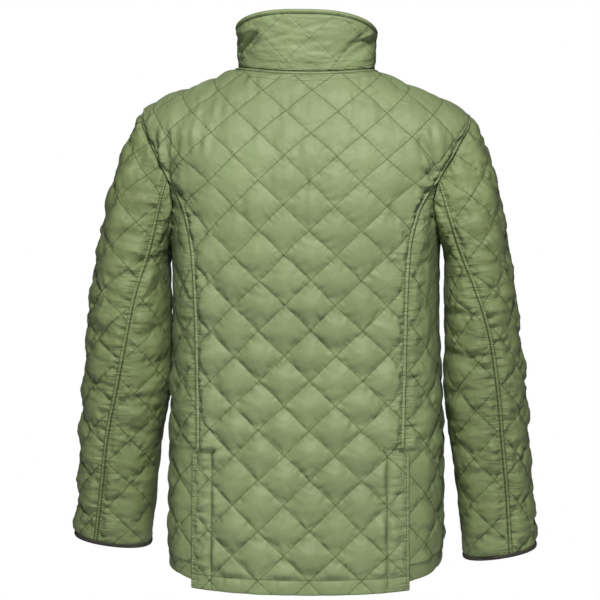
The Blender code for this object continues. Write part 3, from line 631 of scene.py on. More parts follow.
def back_piece():
    shoulder = shoulder_drops(SHOULDER_ROWS)
    arm_angles, arm_drops = along_marks(ARMHOLE_BACK, BACK_ARM_ROWS)
    seam = np.linspace(arm_drops[-1], VENT_DROP, SEAM_ROWS + 1)
    edges = np.concatenate(
        [np.interp(shoulder, [0, SHOULDER_DROP], SHOULDER_SEAM), arm_angles[1:], side_seam_angle(seam[1:])]
    )
    drops = np.concatenate([shoulder, arm_drops[1:], seam[1:]])
    angles = [evenly(e, 180 - e, d, BACK_COLUMNS) for e, d in zip(edges, drops)]
    levels = [np.full(BACK_COLUMNS + 1, d) for d in drops]
    across = np.abs(np.linspace(-1, 1, BACK_COLUMNS + 1))
    hem = BACK_HEM[0] + (BACK_HEM[1] - BACK_HEM[0]) * across**2
    for share in np.linspace(0, 1, VENT_ROWS + 1)[1:]:
        level = VENT_DROP * (1 - share) + hem * share
        flare = ease(share / 0.06)
        half = float(read(SIDE_SEAM, "half_width", level[0])) * (1 - flare) + VENT_EDGE * flare
        edge = float(angle_at(half, level[0], True))
        angles.append(evenly(edge, 180 - edge, level[0], BACK_COLUMNS))
        levels.append(level)
    angles, levels = np.array(angles), np.array(levels)
    form = body(angles, levels)
    out = outward(body, angles, levels)
    run = run_of(form)
    x = run[:, -1:] / 2 - run
    middle = BACK_COLUMNS // 2
    rows = np.arange(len(levels))
    z = form[:, middle, 2]
    down = grid_run(form)[:, middle]
    chest = np.interp(BACK_CROSSING_BELOW_NECK, -z, down)
    # Off the centre the cut runs level, so a place's length down the cloth follows its height.
    y = np.interp(-form[..., 2], -z, down - chest)
    y = np.where(-form[..., 2] < -z[0], (z[0] - form[..., 2]) * 1.6 + down[0] - chest, y)
    star_row = SHOULDER_ROWS + BACK_ARM_ROWS
    star_x, star_y = abs(x[star_row, 0]), y[star_row, 0]
    # The cloth is gathered towards the points where the armhole and sleeve seams meet.
    gather_x, gather_y = np.zeros_like(x), np.zeros_like(y)
    for side in (1, -1):
        away_x, away_y = x - side * star_x, y - star_y
        pull = 0.40 * np.exp(-(away_x**2 + away_y**2) / 0.050**2)
        gather_x, gather_y = gather_x + pull * away_x, gather_y + pull * away_y
    one, two = lattice(x + gather_x, y + gather_y, BACK_GRAIN)
    low = ease((-form[..., 2] - 0.02) / 0.45)
    swell = 0.0029 + 0.0068 * low
    pucker = 0.0008 + 0.0012 * low
    relief = quilting(one, two, 11, swell, pucker)
    upright = cloudy(x / 0.010, y / 0.055, 21) * cloudy(x / 0.045, y / 0.06, 22)
    relief += 0.0032 * upright * (1 - low)
    relief += 0.0008 * cloudy(x / 0.026 + y / 0.03, y / 0.015, 23) * low
    relief += 0.0003 * cloudy(x / 0.012 - y / 0.02, y / 0.007, 24) * low
    seam_edge = np.minimum(run, run[:, -1:] - run)
    along = np.broadcast_to(grid_run(form)[:, :1], seam_edge.shape)
    calm = 0.0026 - 0.0014 * ease((star_row - rows[:, None]) / 12)
    welt_width = WELT + WELT_MORE * ease((star_row - rows[:, None]) / 10)
    keep, welt = pressed(seam_edge, along + (x > 0) * 9.1, 31, welt_width, 0.0018, calm)
    neck_edge = grid_run(form)
    is_shoulder = rows[:, None] <= SHOULDER_ROWS
    side_of = np.where(is_shoulder, 0.02, 1.0)
    relief = relief * keep + welt * side_of
    neck_keep = ease((neck_edge - 0.003) / 0.016)
    relief = relief * neck_keep - 0.0010 * near_line(neck_edge - NECK_STITCH, 0.0011)
    relief += 0.0010 * np.clip(1 - ((neck_edge - 0.0024) / 0.0024) ** 2, 0, 1)
    # The vents' turned edges and the hem: flat bands held by a row of stitches.
    from_hem = grid_run(form)[-1:] - grid_run(form)
    in_vent = ease((rows[:, None] - SHOULDER_ROWS - BACK_ARM_ROWS - SEAM_ROWS) / 3)
    band = ease((VENT_STITCHES[1] - seam_edge) / 0.006) * in_vent
    relief = relief * (1 - 0.45 * band)
    relief *= 1 - 0.80 * near_line(seam_edge - VENT_STITCHES[1], 0.0055) * in_vent
    relief -= 0.0022 * near_line(seam_edge - VENT_STITCHES[1], 0.0016) * in_vent
    vent_pull = cloudy(along / 0.0060, x / 0.05, 35) + 0.8 * cloudy(along / 0.0110, x / 0.07, 36)
    held = 1 - 0.85 * near_line(seam_edge - VENT_STITCHES[1], 0.0035)
    relief += 0.0026 * held * vent_pull * near_line(seam_edge - VENT_STITCHES[1], 0.014) * in_vent
    between = np.sin(np.pi * np.clip(seam_edge / VENT_STITCHES[1], 0, 1)) ** 2 * in_vent
    relief += 0.0022 * cloudy(along / 0.0056, x / 0.02, 37) * between
    hem_band = ease((HEM_TURN - from_hem) / 0.004)
    relief = relief * (1 - 0.55 * hem_band)
    relief *= 1 - 0.80 * near_line(from_hem - HEM_TURN, 0.0060)
    relief -= 0.0011 * near_line(from_hem - HEM_TURN, 0.0014)
    hem_pull = cloudy(x / 0.0065, from_hem / 0.05, 41)
    relief += 0.0012 * hem_pull * near_line(from_hem - HEM_TURN, 0.012)
    relief -= 0.0010 * near_line(from_hem, 0.0015)
    wave = 0.0016 * np.sin(x / 0.031 + 0.8) + 0.0012 * cloudy(x / 0.05, 0.5, 43)
    relief += wave * ease((0.10 - from_hem) / 0.10)
    relief -= 0.0004
    # The cloth draws up in folds that run out from the point where armhole and sleeve seams meet.
    for side_x, table in ((1, STAR_FOLDS_LEFT), (-1, STAR_FOLDS_RIGHT)):
        relief += troughs(star_x - x * side_x, y - star_y, table) * ease(seam_edge / 0.006)
    edge = np.minimum(seam_edge, np.where(neck_edge < 0.02, neck_edge, 1.0))
    present = np.ones((len(levels) - 1, BACK_COLUMNS), bool)
    lined = ease((seam_edge - welt_width + 0.0005) / 0.0025) * ease((neck_edge - 0.004) / 0.004)
    return Cloth("quilted_back", form, out, relief, present, one, two, edge, lined)


BACK = back_piece()
back = BACK.build(GREEN, False)
rows_all = BACK.outer.shape[0] - 1
vent_row = SHOULDER_ROWS + BACK_ARM_ROWS + SEAM_ROWS


def column_at(cloth, row, distance, side):
    """The grid column at a distance in from one edge of a row."""
    run = run_of(cloth.base[int(row)])
    where = distance if side > 0 else run[-1] - distance
    return float(np.interp(where, run, np.arange(len(run))))


def down_rows(cloth, first, last, distance, side, widened=0.0):
    """A line of stitches beside an edge, set further in along the armhole by a share of the welt."""
    rows = np.arange(first, last + 0.1, 2)
    inset = distance + widened * WELT_MORE * ease((vent_row - SEAM_ROWS - rows) / 10)
    columns = np.array([column_at(cloth, row, far, side) for row, far in zip(rows, inset)])
    return cloth.place(rows.astype(float), columns)


back_runs = []
for side in (1, -1):
    for distance, widened in ((WELT, 1.0), (0.0008, 0.5)):
        back_runs.append(down_rows(BACK, SHOULDER_ROWS + 2, vent_row, distance, side, widened))
    back_runs.append(down_rows(BACK, vent_row + 2, rows_all - 1, VENT_STITCHES[0], side))
    back_runs.append(down_rows(BACK, vent_row + 1, rows_all - 1, VENT_STITCHES[1], side))
    # A short bar of stitches holds the top of the vent.
    bar_rows = np.linspace(vent_row - 1, vent_row + 4, 8)
    bar_places = np.linspace(VENT_STITCHES[1], 0.006, 8)
    bar_columns = np.array([column_at(BACK, vent_row, place, side) for place in bar_places])
    back_runs.append(BACK.place(bar_rows, bar_columns))
neck_columns = np.arange(2.0, BACK_COLUMNS - 1, 2.0)
neck_rows = np.full(len(neck_columns), NECK_STITCH * SHOULDER_ROWS / SHOULDER_LONG)
back_runs.append(BACK.place(neck_rows, neck_columns))
hem_columns = np.arange(1, BACK_COLUMNS - 1.0, 1.0)
hem_rows = np.full(len(hem_columns), rows_all - VENT_ROWS * HEM_TURN / (BACK_HEM[0] - VENT_DROP))
back_runs.append(BACK.place(hem_rows, hem_columns))
back_stitches = stitch_rows("back_topstitching", back_runs)
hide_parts("back_panel")

# ---------------------------------------------------------------------------------------------
# Fronts: the same quilted nylon, each in one piece from the side-back seam round to the centre
# front, sewn to the back above the vents and lapping left over right. Below the seam a front
# carries on under the back panel as the vent's lap, tucked in by 4 mm.
# ---------------------------------------------------------------------------------------------
TUCK = 0.0038
UNDERLAP = 0.124
ARMHOLE_UNDER = [
    Mark(27.5, 0.1640), Mark(25.5, 0.1900), Mark(19.5, 0.2180), Mark(10.0, 0.2420),
    Mark(0.0, 0.2500), Mark(-10.0, 0.2420), Mark(-20.0, 0.2180), Mark(-26.5, 0.1900),
    Mark(-29.0, 0.1640),
]
ARMHOLE_FRONT = [
    Mark(-29.0, 0.1640), Mark(-30.0, 0.1380), Mark(-28.0, 0.1100), Mark(-21.0, 0.0850),
    Mark(-12.0, 0.0710), Mark(-4.6, 0.0660),
]
HemMark = namedtuple("HemMark", "share drop")
FRONT_HEM = [
    HemMark(0.00, 0.7560), HemMark(0.16, 0.7380), HemMark(0.30, 0.7200), HemMark(1.00, 0.7350),
]
OVERLAP = 0.020
PLACKET_STITCHES = (0.0055, 0.0300)
# Cloth between the top of the vent and the front's hem.
BELOW_VENT = 0.178
LAP_RAMP = (0.024, 0.046)
VENT_RAMP = (0.160, 0.186)
VENT_EASE = 0.006
FRONT_ARM_ROWS = 48
UNDER_COLUMNS = 84
FRONT_COLUMNS = 84
LAP_COLUMNS = 12


def ramp(at, run):
    return ease((run[1] - at) / (run[1] - run[0]))


def front_grid():
    shoulder = shoulder_drops(SHOULDER_ROWS)
    arm_angles, arm_drops = along_marks(ARMHOLE_FRONT, FRONT_ARM_ROWS)
    arm_angles, arm_drops = arm_angles[::-1], arm_drops[::-1]
    under_angles, under_drops = along_marks(ARMHOLE_UNDER, UNDER_COLUMNS)
    top = SHOULDER_ROWS + FRONT_ARM_ROWS
    side = LAP_COLUMNS + UNDER_COLUMNS
    columns = side + FRONT_COLUMNS
    rows = top + SEAM_ROWS + VENT_ROWS
    angles = np.zeros((rows + 1, columns + 1))
    drops = np.zeros((rows + 1, columns + 1))
    edges = np.interp(shoulder, [0, SHOULDER_DROP], SHOULDER_SEAM)
    edges = np.concatenate([edges, arm_angles[1:]])
    tops = np.concatenate([shoulder, arm_drops[1:]])
    for row, (edge, drop) in enumerate(zip(edges, tops)):
        last = float(angle_at(-OVERLAP, drop, False))
        angles[row, side:] = evenly(edge, last, drop, FRONT_COLUMNS)
        drops[row] = drop
        angles[row, :side] = edge
    notch = arm_angles[-1]
    starts = np.concatenate([under_drops, np.full(FRONT_COLUMNS, under_drops[-1])])
    share = np.concatenate(
        [np.linspace(0, 7 / 15, UNDER_COLUMNS + 1), np.linspace(7 / 15, 1, FRONT_COLUMNS + 1)[1:]]
    )
    hem = read(FRONT_HEM, "drop", share)
    for row in range(top + 1, rows + 1):
        below = row - top
        if below <= SEAM_ROWS:
            level = starts + (VENT_DROP - starts) * below / SEAM_ROWS
        else:
            level = VENT_DROP + (hem - VENT_DROP) * (below - SEAM_ROWS) / VENT_ROWS
        drops[row, LAP_COLUMNS:] = level
        drops[row, :LAP_COLUMNS] = level[0]
        settled = ease(below / SEAM_ROWS / 0.45)
        seam = float(side_seam_angle(level[0]))
        even = evenly(seam, notch, level[0], UNDER_COLUMNS)
        angles[row, LAP_COLUMNS : side + 1] = under_angles * (1 - settled) + even * settled
        angles[row, LAP_COLUMNS] = seam
        last = float(angle_at(-OVERLAP, level[-1], False))
        angles[row, side:] = evenly(notch, last, level[-1], FRONT_COLUMNS)
        lap = float(angle_at(UNDERLAP, level[0], True))
        angles[row, : LAP_COLUMNS + 1] = np.linspace(lap, seam, LAP_COLUMNS + 1)
    angles[top, LAP_COLUMNS : side + 1] = under_angles
    drops[top, LAP_COLUMNS : side + 1] = under_drops
    present = np.ones((rows, columns), bool)
    present[:top, :side] = False
    present[: top + SEAM_ROWS, :LAP_COLUMNS] = False
    return angles, drops, present


FRONT_GRAIN = {
    1: Grain(-0.029, -0.009, 0.0179, 0.0422, 0.0747, 0.0715),
    -1: Grain(0.012, -0.008, 0.0095, 0.0257, 0.0747, 0.0716),
}


def front_piece(side):
    angles, drops, present = front_grid()
    form = body(angles, drops)
    out = outward(body, angles, drops)
    top = SHOULDER_ROWS + FRONT_ARM_ROWS
    first = LAP_COLUMNS
    seam_column = LAP_COLUMNS + UNDER_COLUMNS
    run = run_of(form)
    from_back = run - run[:, first : first + 1]
    from_front = run[:, -1:] - run
    # The cut's grain is upright: across is measured from the front edge above the armhole, and
    # low down from the side seam.
    width = from_back[-1, -1]
    blend = ease((np.arange(len(drops)) - top) / 90)[:, None]
    across = (width - from_front) * (1 - blend) + from_back * blend
    down = -form[..., 2] * 1.01
    seed = 56 - 5 * side
    one, two = lattice(across, down, FRONT_GRAIN[side])
    low = ease((drops - 0.05) / 0.40)
    relief = quilting(one, two, seed, 0.0034 + 0.0012 * low, 0.0016)
    relief += 0.0014 * cloudy(across / 0.03 + down / 0.05, down / 0.013, seed + 3)
    # Under the arm the sleeve presses it flatter.
    relief *= 1 - 0.6 * ease((form[..., 0] - 0.182) / 0.010) * ease((0.46 - drops) / 0.08)
    rows = np.arange(len(drops))[:, None]
    columns = np.arange(drops.shape[1])[None]
    # Edges: the side seam and vent, the armhole, shoulder and neck, the front edge, the hem.
    side_edge = np.where((columns >= first) & (rows > top), from_back, 1.0)
    in_vent = ease((rows - top - SEAM_ROWS) / 3)
    side_edge = side_edge * (1 - in_vent) + in_vent
    arm_edge = np.where(rows <= top, run - run[:, seam_column : seam_column + 1], 1.0)
    under = grid_run(form)
    under_edge = np.where((rows >= top) & (columns <= seam_column), under - under[top : top + 1], 1.0)
    neck_edge = under - under[0:1]
    neck_edge = np.where(columns >= seam_column, neck_edge, 1.0)
    seam_edge = np.minimum(np.minimum(side_edge, arm_edge), under_edge)
    seam_edge = np.maximum(seam_edge, 0)
    along = np.where(side_edge < 0.03, down, across + down)
    keep, welt = pressed(seam_edge, along, seed + 7, welt=0.0030, raise_by=0.0)
    relief = relief * keep + welt * (seam_edge < 0.06)
    relief = relief * ease(neck_edge / 0.02)
    from_hem = under[-1:] - under
    relief = relief * (1 - 0.55 * ease((HEM_TURN - from_hem) / 0.004))
    relief -= 0.0011 * near_line(from_hem - HEM_TURN, 0.0014)
    relief -= 0.0010 * near_line(from_hem, 0.0015)
    band = ease((PLACKET_STITCHES[1] - from_front) / 0.005)
    relief = relief * (1 - 0.65 * band)
    relief -= 0.0010 * near_line(from_front - PLACKET_STITCHES[1], 0.0014)
    relief -= 0.0010 * near_line(from_front, 0.0015)
    relief = relief - 0.0008
    tuck = ramp(form[..., 0], VENT_RAMP) * (form[..., 1] > 0) * (drops > VENT_DROP)
    tuck = tuck * ease((drops - VENT_DROP) / VENT_EASE)
    # Cloth under the back panel lies flat, so that the panel covers it.
    flat = ramp(form[..., 0], (0.150, 0.172)) * (form[..., 1] > 0) * (drops > VENT_DROP)
    relief = relief * (1 - 0.9 * flat) - 0.0012 * flat
    if side < 0:
        under_lap = ramp(form[..., 0], LAP_RAMP) * (form[..., 1] < 0)
        relief = relief * (1 - 0.8 * under_lap) - 0.0010 * under_lap
        tuck = tuck + under_lap
    edge = np.minimum(seam_edge, np.where(neck_edge < 0.02, neck_edge, 1.0))
    word = "left" if side > 0 else "right"
    lined = ease((seam_edge - 0.002) / 0.002) * ease((neck_edge - 0.004) / 0.004)
    base = form - out * (tuck * TUCK)[..., None]
    cloth = Cloth(f"quilted_front_{word}", base, out, relief, present, one, two, edge, lined)
    if side < 0:
        cloth.flip()
    return cloth


# Darker copies of the same green, with darker groove shade and thread, for the fronts and sleeves: painted
# shade where these pieces turn away from the light.
GROOVE_SHADE_AND_THREAD_SHADED = ((0.050, 0.074, 0.020), (0.080, 0.112, 0.036))
FRONT_GREEN_PAINTED_SHADE = nylon("green_nylon_fronts_shaded", (0.225, 0.281, 0.122), GROOVE_SHADE_AND_THREAD_SHADED, creased=2.0)
for side, word in ((1, "left"), (-1, "right")):
    cloth = front_piece(side)
    piece = cloth.build(FRONT_GREEN_PAINTED_SHADE, side > 0)
    last, edge = cloth.outer.shape[0] - 1, cloth.outer.shape[1] - 1
    runs = []
    if side > 0:
        runs += [down_rows(cloth, 2, last - 1, inset, -1) for inset in PLACKET_STITCHES]
    columns = np.arange(2.0, edge - 2, 1.0)
    hem_row = last - VENT_ROWS * HEM_TURN / BELOW_VENT
    runs.append(cloth.place(np.full(len(columns), hem_row), columns))
    rows = np.arange(SHOULDER_ROWS + 1.0, SHOULDER_ROWS + FRONT_ARM_ROWS - 1, 2.0)
    runs.append(cloth.place(rows, np.full(len(rows), LAP_COLUMNS + UNDER_COLUMNS + 2.2)))
    stitches = stitch_rows(f"front_topstitching_{word}", runs)
    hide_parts(f"front_{word}")

# ---------------------------------------------------------------------------------------------
# Sleeves: an upper and an under piece of the quilted nylon, set into the armhole and hanging a
# little forward. The seam down the back of the arm is welted with two rows of stitches, and a
# dark bias strip is folded over the cuff edge and stitched through.
# ---------------------------------------------------------------------------------------------
Arm = namedtuple("Arm", "drop out back half_width half_depth back_seam front_seam")
SLEEVE_LEFT = [
    Arm(0.290, 0.2604, 0.004, 0.0541, 0.0770, 122, 240),
    Arm(0.340, 0.2638, 0.006, 0.0592, 0.0740, 106, 252),
    Arm(0.400, 0.2662, 0.004, 0.0630, 0.0705, 95, 263),
    Arm(0.470, 0.2706, -0.002, 0.0646, 0.0665, 87, 271),
    Arm(0.550, 0.2820, -0.012, 0.0610, 0.0610, 81, 277),
    Arm(0.620, 0.2890, -0.022, 0.0590, 0.0565, 78, 280),
    Arm(0.708, 0.2995, -0.036, 0.0585, 0.0510, 75, 283),
]
SLEEVE_RIGHT = [
    Arm(0.290, 0.2545, 0.004, 0.0480, 0.0770, 112, 240),
    Arm(0.340, 0.2580, 0.006, 0.0520, 0.0740, 93, 252),
    Arm(0.400, 0.2620, 0.004, 0.0550, 0.0705, 80, 263),
    Arm(0.470, 0.2650, -0.002, 0.0600, 0.0665, 74, 271),
    Arm(0.550, 0.2720, -0.012, 0.0575, 0.0610, 73, 277),
    Arm(0.620, 0.2795, -0.022, 0.0560, 0.0565, 74, 280),
    Arm(0.722, 0.2885, -0.036, 0.0550, 0.0510, 77, 283),
]
SLEEVE_FULLNESS = 2.2
SLEEVE_WELT = 0.0058
CAP_LEAVES_UNDER = 0.16
CAP_LEAVES_TOP = 0.52
CAP_SWELL = 0.34
CUFF_SLANT_FROM = 0.15
# Places round a sleeve, counted in columns from the top of the armhole: the seam down the back
# of the arm, the front seam, and the whole way round.
STAR = 60
NOTCH = STAR + 84
AROUND = NOTCH + 48
CAP_ROWS = 54
ARM_ROWS = 207


def sleeve_rings(table, slant):
    """Points of a sleeve on the wearer's left: rows from armhole to cuff, columns round it."""
    runs = [along_marks(ARMHOLE_BACK, STAR), along_marks(ARMHOLE_UNDER, NOTCH - STAR)]
    runs.append(along_marks(ARMHOLE_FRONT, AROUND - NOTCH))
    start = body(*(np.concatenate([run[way][:-1] for run in runs]) for way in (0, 1)))
    first, last = table[0].drop, table[-1].drop
    rings = []
    for drop in np.linspace(first, last, ARM_ROWS + 1):
        centre = np.array([read(table, "out", drop), read(table, "back", drop), -drop])
        step = 0.004
        ahead = np.array([read(table, "out", drop + step), read(table, "back", drop + step), 0])
        behind = np.array([read(table, "out", drop - step), read(table, "back", drop - step), 0])
        lean = (ahead - behind) / max(min(drop + step, last) - max(drop - step, first), step)
        down = unit(np.array([lean[0], lean[1], -1.0]))
        tilt = math.radians(slant) * ease((drop - last + CUFF_SLANT_FROM) / CUFF_SLANT_FROM)
        out = unit(np.array([1.0, 0, 0]) - down[0] * down)
        back_way = np.cross(out, down)
        out = out * math.cos(tilt) + down * -math.sin(tilt)
        turns = np.interp(
            np.arange(AROUND + 1),
            [0, STAR, NOTCH, AROUND],
            [0, read(table, "back_seam", drop), read(table, "front_seam", drop), 360],
        )[:-1]
        across, deep = rounded(turns, SLEEVE_FULLNESS)
        across = across[:, None] * read(table, "half_width", drop) * out
        deep = deep[:, None] * read(table, "half_depth", drop) * back_way
        rings.append(centre + across + deep)
    rings = np.array(rings)
    turn = 2 * np.pi * np.arange(AROUND) / AROUND
    outness = CAP_LEAVES_UNDER + (CAP_LEAVES_TOP - CAP_LEAVES_UNDER) * (1 + np.cos(turn)) / 2
    leave = unit(np.stack([outness, CAP_SWELL * np.sin(turn), -np.sqrt(1 - outness**2)], -1))
    arrive = unit(rings[8] - rings[0])
    reach = np.linalg.norm(rings[0] - start, axis=-1, keepdims=True)
    cap = []
    for share in np.linspace(0, 1, CAP_ROWS + 1)[:-1]:
        stay = (1 + 2 * share) * (1 - share) ** 2
        go = share**2 * (3 - 2 * share)
        from_start = share * (1 - share) ** 2 * leave * reach
        to_end = share**2 * (share - 1) * arrive * reach
        cap.append(start * stay + rings[0] * go + from_start + to_end)
    return np.concatenate([np.array(cap), rings])


def grid_outward(grid):
    """Directions out of a tube whose rows run down it and whose columns close round it."""
    round_it = np.roll(grid, -1, axis=1) - np.roll(grid, 1, axis=1)
    down_it = np.empty_like(grid)
    down_it[1:-1] = grid[2:] - grid[:-2]
    down_it[0] = grid[1] - grid[0]
    down_it[-1] = grid[-1] - grid[-2]
    return unit(np.cross(down_it, round_it))


SleevePiece = namedtuple("SleevePiece", "word first count from_back seed grain")
SLEEVE_PIECES = {
    1: [
        SleevePiece(
            "upper", NOTCH, AROUND - NOTCH + STAR, False, 71,
            Grain(0.121, 0.062, 0.0623, 0.0481, 0.0755, 0.0707),
        ),
        SleevePiece(
            "under", STAR, NOTCH - STAR, True, 72,
            Grain(-0.108, -0.151, 0.0411, 0.0267, 0.0729, 0.0705),
        ),
    ],
    -1: [
        SleevePiece(
            "upper", NOTCH, AROUND - NOTCH + STAR, False, 81,
            Grain(0.120, 0.017, 0.0329, 0.0481, 0.0688, 0.0721),
        ),
        SleevePiece(
            "under", STAR, NOTCH - STAR, True, 82,
            Grain(-0.146, -0.020, 0.0345, 0.0483, 0.0691, 0.0706),
        ),
    ],
}
SLEEVE_FOLDS = {
    (1, "upper"): [
        Trough(0.010, -0.060, 0.055, -0.070, 0.0040, 0.009),
        Trough(0.012, -0.040, 0.070, -0.028, 0.0034, 0.010),
        Trough(0.020, 0.120, 0.075, 0.105, 0.0030, 0.012),
    ],
    (1, "under"): [
        Trough(0.020, 0.110, 0.100, 0.070, 0.0040, 0.010),
        Trough(0.015, 0.160, 0.100, 0.140, 0.0045, 0.010),
        Trough(0.020, 0.215, 0.095, 0.185, 0.0036, 0.009),
        Trough(0.010, 0.250, 0.090, 0.265, 0.0030, 0.009),
    ],
    (-1, "upper"): [
        Trough(0.010, -0.070, 0.060, -0.060, 0.0036, 0.010),
        Trough(0.015, -0.020, 0.060, -0.045, 0.0036, 0.010),
        Trough(0.010, 0.130, 0.070, 0.118, 0.0028, 0.010),
    ],
    (-1, "under"): [
        Trough(0.010, 0.085, 0.095, 0.070, 0.0045, 0.009),
        Trough(0.030, 0.150, 0.105, 0.125, 0.0050, 0.010),
        Trough(0.020, 0.190, 0.105, 0.195, 0.0045, 0.009),
        Trough(0.040, 0.245, 0.105, 0.225, 0.0036, 0.010),
    ],
}


def sleeve_cloth(side, rings, out, piece):
    word = "left" if side > 0 else "right"
    columns = np.arange(piece.first, piece.first + piece.count + 1) % AROUND
    form, ways = rings[:, columns], out[:, columns]
    run = run_of(form)
    across = run if piece.from_back else run[:, -1:] - run
    down = grid_run(form)
    down = down - down[CAP_ROWS : CAP_ROWS + 1]
    # The seam allowance lies inside the armhole: the sleeve's edge slips in under the body.
    form = np.array(form)
    form[0] += unit(form[0] - form[3]) * 0.0030 - ways[0] * 0.0018
    one, two = lattice(across, down, piece.grain)
    relief = quilting(one, two, piece.seed, 0.0052, 0.0026)
    relief += 0.0016 * cloudy(across / 0.034, down / 0.011, piece.seed + 3)
    relief += 0.0008 * cloudy(across / 0.013 + down / 0.02, down / 0.0065, piece.seed + 4)
    relief += troughs(across, down, SLEEVE_FOLDS[side, piece.word])
    # Where the sleeve hangs against the body it is pressed flatter.
    relief *= 1 - 0.7 * np.clip(-ways[..., 0], 0, 1) ** 3
    seam_edge = np.minimum(run, run[:, -1:] - run)
    armhole = grid_run(form)
    welt, lift = (SLEEVE_WELT, 0.0015) if piece.word == "upper" else (0.0030, 0.0)
    keep, ridge = pressed(seam_edge, down, piece.seed + 7, welt=welt, raise_by=lift, pucker=0.0028)
    relief = relief * keep + ridge
    top_keep, top_ridge = pressed(armhole, across, piece.seed + 9, 0.0030, 0.0, 0.0016)
    relief = relief * top_keep + top_ridge
    relief = relief * ease((grid_run(form)[-1:] - grid_run(form) - 0.002) / 0.010)
    relief -= 0.0006
    present = np.ones((form.shape[0] - 1, form.shape[1] - 1), bool)
    edge = np.minimum(seam_edge, armhole)
    lined = ease((seam_edge - welt + 0.0005) / 0.0025) * ease((armhole - 0.002) / 0.003)
    name = f"quilted_sleeve_{piece.word}_{word}"
    cloth = Cloth(name, form, ways, relief, present, one, two, edge, lined)
    if side < 0:
        cloth.flip()
    return cloth


def cuff_binding(side, sleeve, out):
    """A bias strip folded over the cuff edge and stitched through."""
    edge, ways = sleeve[-1], out[-1]
    down = unit(sleeve[-1] - sleeve[-2])
    run = run_of(np.concatenate([edge, edge[:1]]))[:-1]
    ripple = 0.00025 * cloudy(run / 0.006, 0.5, 91)
    lower = 0.0012
    profile = [
        (lower * 0.6, -lower), (lower, -lower * 0.6), (lower * 1.25, 0.0015), (lower * 1.1, 0.0034),
        (lower * 0.8, 0.0042), (0.0003, 0.0043), (0.0003, -0.0003), (-WALL - 0.0003, -0.0003),
        (-WALL - 0.0003, 0.0043), (-WALL - lower, 0.0042), (-WALL - lower, -lower * 0.6),
        (-WALL - lower * 0.5, -lower),
    ]
    rings = []
    for at, (away, up) in enumerate(profile):
        waved = ripple[:, None] if 0 < at < 5 else 0
        rings.append(edge + ways * (away + waved) - down * up)
    points = np.array(rings)
    if side < 0:
        points = mirrored(points)
    points = leaned(points)
    sides, count = points.shape[:2]
    faces = []
    for i in range(sides):
        for j in range(count):
            face = [i * count + j, ((i + 1) % sides) * count + j]
            face += [((i + 1) % sides) * count + (j + 1) % count, i * count + (j + 1) % count]
            faces.append(face[::-1] if side < 0 else face)
    word = "left" if side > 0 else "right"
    return laid_piece(f"bound_cuff_{word}", points.reshape(-1, 3), faces, BIAS)


# A darker copy of the green for the sleeves, with darker groove shade and thread: painted shade.
SLEEVE_GREEN_PAINTED_SHADE = nylon("green_nylon_sleeves_shaded", (0.208, 0.257, 0.105), GROOVE_SHADE_AND_THREAD_SHADED, creased=2.4)
BIAS = nylon("cuff_bias_tape", (0.050, 0.046, 0.038), roughness=0.75)
for side, word, table, slant in ((1, "left", SLEEVE_LEFT, 1), (-1, "right", SLEEVE_RIGHT, 4)):
    rings = sleeve_rings(table, slant)
    out = grid_outward(rings)
    for piece in SLEEVE_PIECES[side]:
        cloth = sleeve_cloth(side, rings, out, piece)
        obj = cloth.build(SLEEVE_GREEN_PAINTED_SHADE, side < 0)
        if piece.word == "upper":
            last = cloth.outer.shape[0] - 1
            runs = [down_rows(cloth, 1, last - 1, inset, -1) for inset in (0.0010, SLEEVE_WELT)]
            stitches = stitch_rows(f"sleeve_topstitching_{word}", runs)
        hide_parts(f"sleeve_{piece.word}_{word}")
    binding = cuff_binding(side, rings, out)
    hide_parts(f"cuff_binding_{word}")

# ---------------------------------------------------------------------------------------------
# Stand collar: one quilted nylon band sewn round the neck, rolled over and topstitched along
# its rim, standing a little crushed, so that it breaks into folds at both sides.
# ---------------------------------------------------------------------------------------------
Ring = namedtuple("Ring", "share side back front half_width back_y front_y fullness")
COLLAR = [
    Ring(0.00, 0.0000, -0.010, -0.058, 0.1030, 0.0640, 0.078, 2.10),
    Ring(0.30, 0.0165, 0.018, -0.033, 0.1035, 0.0645, 0.080, 2.15),
    Ring(0.65, 0.0380, 0.051, -0.004, 0.1047, 0.0640, 0.082, 2.40),
    Ring(1.00, 0.0605, 0.082, 0.022, 0.1062, 0.0620, 0.083, 2.75),
]
# Stitches run this far below the rim; the second is the cloth's length from seam to rim.
RIM_STITCH = 0.0068
CLOTH_UP_COLLAR = 0.088
COLLAR_RADIUS = 0.085
COLLAR_HEIGHT = 0.085
COLLAR_ROWS = 60
COLLAR_COLUMNS = 396
COLLAR_GRAIN = Grain(0.0, 0.0, 0.0617, 0.0216, 0.0747, 0.0723)
Fold = namedtuple("Fold", "angle_from share_from angle_to share_to depth reach")
COLLAR_FOLDS = [
    Fold(60.0, 0.74, 14.0, 0.38, 0.0028, 0.009),
    Fold(40.0, 0.60, 8.0, 0.62, 0.0030, 0.010),
    Fold(172.0, 0.72, 130.0, 0.28, 0.0060, 0.011),
]
COLLAR_CREASES = [
    Fold(50.0, 0.64, 16.0, 0.36, 0.0085, 0.0036),
    Fold(54.0, 0.52, 30.0, 0.36, 0.0030, 0.0042),
    Fold(48.0, 0.76, 30.0, 0.70, -0.0030, 0.0045),
    Fold(150.0, 0.78, 126.0, 0.44, 0.0026, 0.0036),
    Fold(156.0, 0.66, 138.0, 0.52, 0.0030, 0.0032),
    Fold(144.0, 0.62, 122.0, 0.30, 0.0026, 0.0038),
    Fold(160.0, 0.80, 148.0, 0.66, -0.0026, 0.0040),
    Fold(110.0, 0.80, 84.0, 0.66, 0.0018, 0.0045),
    Fold(100.0, 0.46, 74.0, 0.40, 0.0016, 0.0045),
    Fold(84.0, 0.60, 66.0, 0.52, 0.0016, 0.0040),
    Fold(-40.0, 0.70, -14.0, 0.42, 0.0030, 0.0070),
    Fold(224.0, 0.60, 198.0, 0.50, 0.0028, 0.0070),
]


